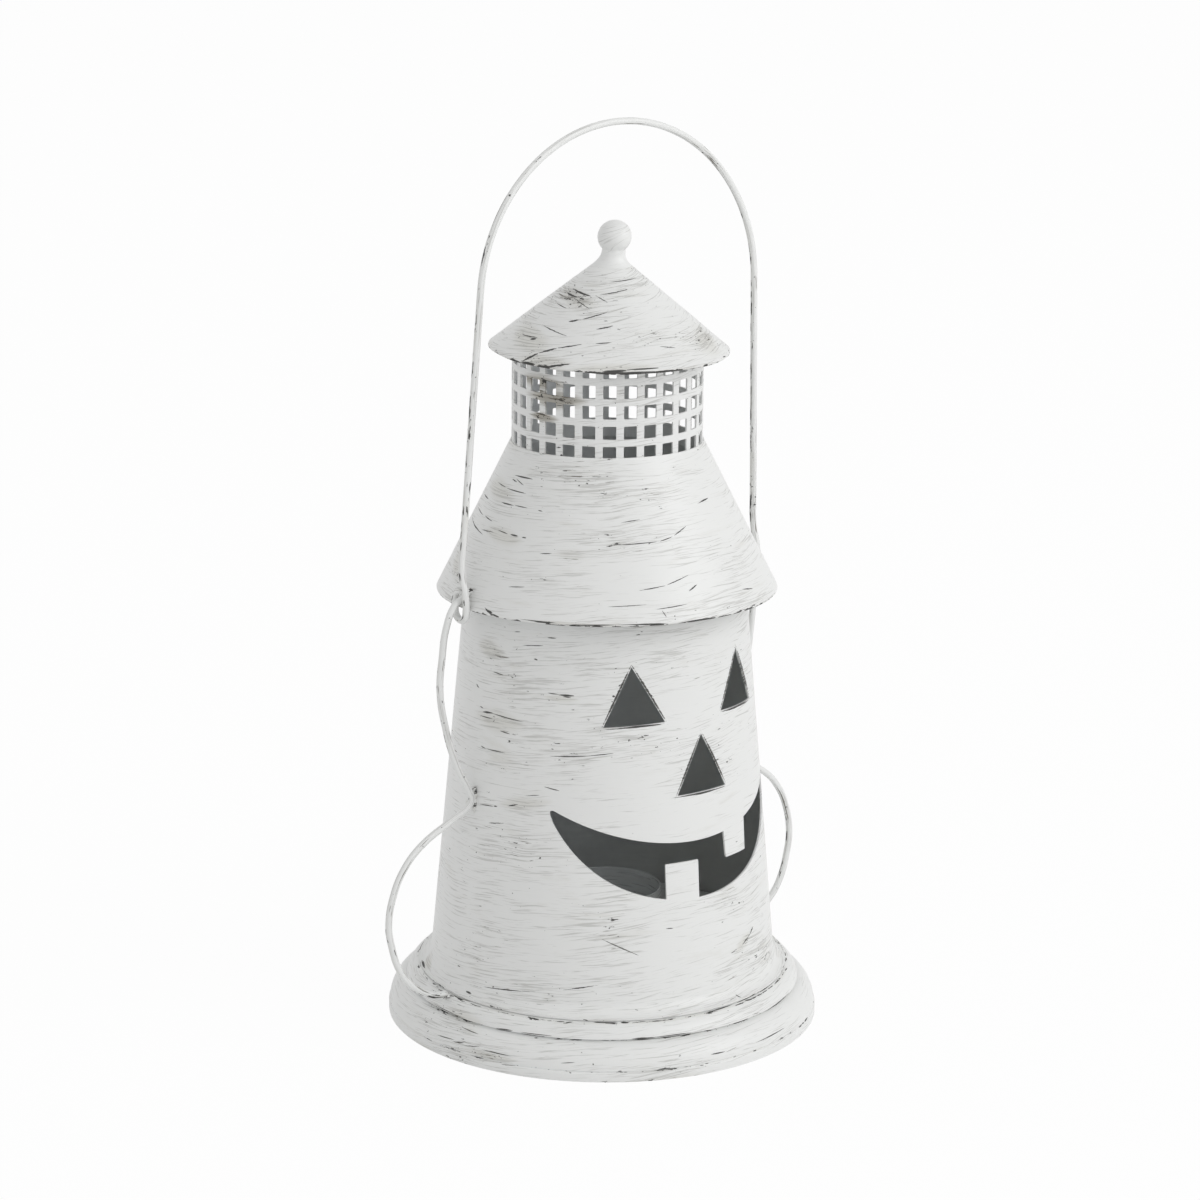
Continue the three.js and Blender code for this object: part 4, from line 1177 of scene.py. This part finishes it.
archCentre = (bail["archShift"], bail["archCentre"])
legFoot = bail["legBend"][-1][1]
startAngle = tangentAngle((bail["eyes"][0], legFoot), archCentre, -1) % math.tau
endAngle = tangentAngle((bail["eyes"][1], legFoot), archCentre, 1)
archPoints = []
for step in range(bail["archSteps"] + 1):
    angle = startAngle + (endAngle - startAngle) * step / bail["archSteps"]
    archPoints.append(Vector((
        archCentre[0] + bail["archRadius"] * math.cos(angle), -bail["archOffset"],
        archCentre[1] + bail["archRadius"] * math.sin(angle))))


def legPoints(foot, top, count=10):
    return [foot.lerp(top, step / count) for step in range(1, count)]


leftEye = eyePoints(bail["eyes"][0])
rightEye = eyePoints(bail["eyes"][1])
bailPoints = [
    *leftEye, *legPoints(leftEye[-1], archPoints[0]), *archPoints,
    *reversed(legPoints(rightEye[-1], archPoints[-1])), *reversed(rightEye),
]
bailTurn = Matrix.Translation((0, 0, wire["pivot"])) @ Matrix.Rotation(math.radians(bail["lean"]), 4, "X")
bailPiece = sweepWire("bailHandle", [bailTurn @ point for point in bailPoints], bail["worn"])
bailPaint = makePaint("bailPaint", seed=121, **wirePaintLook)
paintFaces(bailPiece, bailPaint)
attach(bailPiece, "bail")
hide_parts("bail_handle")
print("bail made")

# Scrolls: from the hood through the bail's eye, out, back to the body, out further and onto the base
scroll = {
    "swell": (87.2, 160), "waist": 109, "loop": (113.8, 60), "gap": .3,
    "swellBend": [(.72, .32), (.88, .6)],
    "returnBend": [(.18, .34), (.52, .68), (.92, .93)],
    "loopBend": [(.05, .07), (.22, .15), (.62, .34), (.82, .52), (.94, .73)],
    "endBend": [(.05, .27), (.2, .6), (.43, .82), (.71, .96)],
    "worn": [(4, 10, 1), (104, 14, .6), (-6, 12, .6)],
}


def stretch(start, end, bends):
    between = [(start[0] + (end[0] - start[0]) * across, start[1] + (end[1] - start[1]) * down)
               for across, down in bends]
    return [*between, end]


def hoodRadiusAt(height):
    return hood["topRadius"] + (hood["top"] - height) * .49


def scrollPoints(side, eyeReach, stubSlope, drift, sag, hoodShift):
    seat = wire["radius"] + scroll["gap"]
    pivot = wire["pivot"]
    stubReach = eyeReach - 2 * wire["radius"]
    while hoodRadiusAt(pivot + (eyeReach - stubReach) * stubSlope) + hoodShift + seat < stubReach:
        stubReach -= .1
    outside = eyeReach + 2 * wire["radius"]
    waist = (bodyRadiusAt(scroll["waist"] - sag) + seat, scroll["waist"] - sag)
    loop = (scroll["loop"][0], scroll["loop"][1] - sag)
    end = (body["foot"] + 2.8 + sag * .72, base["ledge"] + .3 - sag * .56)
    route = [
        (stubReach, pivot + (eyeReach - stubReach) * stubSlope),
        (eyeReach, pivot),
        (outside, pivot + (eyeReach - outside) * stubSlope),
        *stretch((eyeReach, pivot), scroll["swell"], scroll["swellBend"]),
        *stretch(scroll["swell"], waist, scroll["returnBend"]),
        *stretch(waist, loop, scroll["loopBend"]),
        *stretch(loop, end, scroll["endBend"]),
    ]
    turned = []
    for reach, height in route:
        turn = smoothStep(0, pivot - scroll["swell"][1], pivot - height)
        turned.append(outward(side * (90 + drift * turn), reach, height) / mm)
    return turned


scrolls = {
    "left": {"side": -1, "eyeReach": 76.6, "stubSlope": .7, "drift": 0, "sag": 0, "hoodShift": .7},
    "right": {"side": 1, "eyeReach": 80.4, "stubSlope": .36, "drift": 4.8, "sag": 3.4, "hoodShift": -.7},
}
for number, (sideName, shape) in enumerate(scrolls.items()):
    route = scrollPoints(**shape)
    scrollPiece = sweepWire(sideName + "Scroll", route, scroll["worn"])
    azimuth = shape["side"] * (90 + shape["drift"])
    waistHeight = scroll["waist"] - shape["sag"]
    addSolder(scrollPiece, [
        (outward(azimuth, bodyRadiusAt(waistHeight) + .5, waistHeight), (1.4, 1, 6), azimuth),
        (route[0] * mm, (1.6, 1.5, 1.7), azimuth),
        (route[-1] * mm - Vector((0, 0, .9 * mm)), (1.8, 2.4, 1.1), azimuth),
    ])
    scrollPaint = makePaint(sideName + "ScrollPaint", **{**wirePaintLook, "seed": 141 + 10 * number})
    paintFaces(scrollPiece, scrollPaint)
    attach(scrollPiece, "lantern")
    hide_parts(sideName + "_scroll")
print("scrolls made")
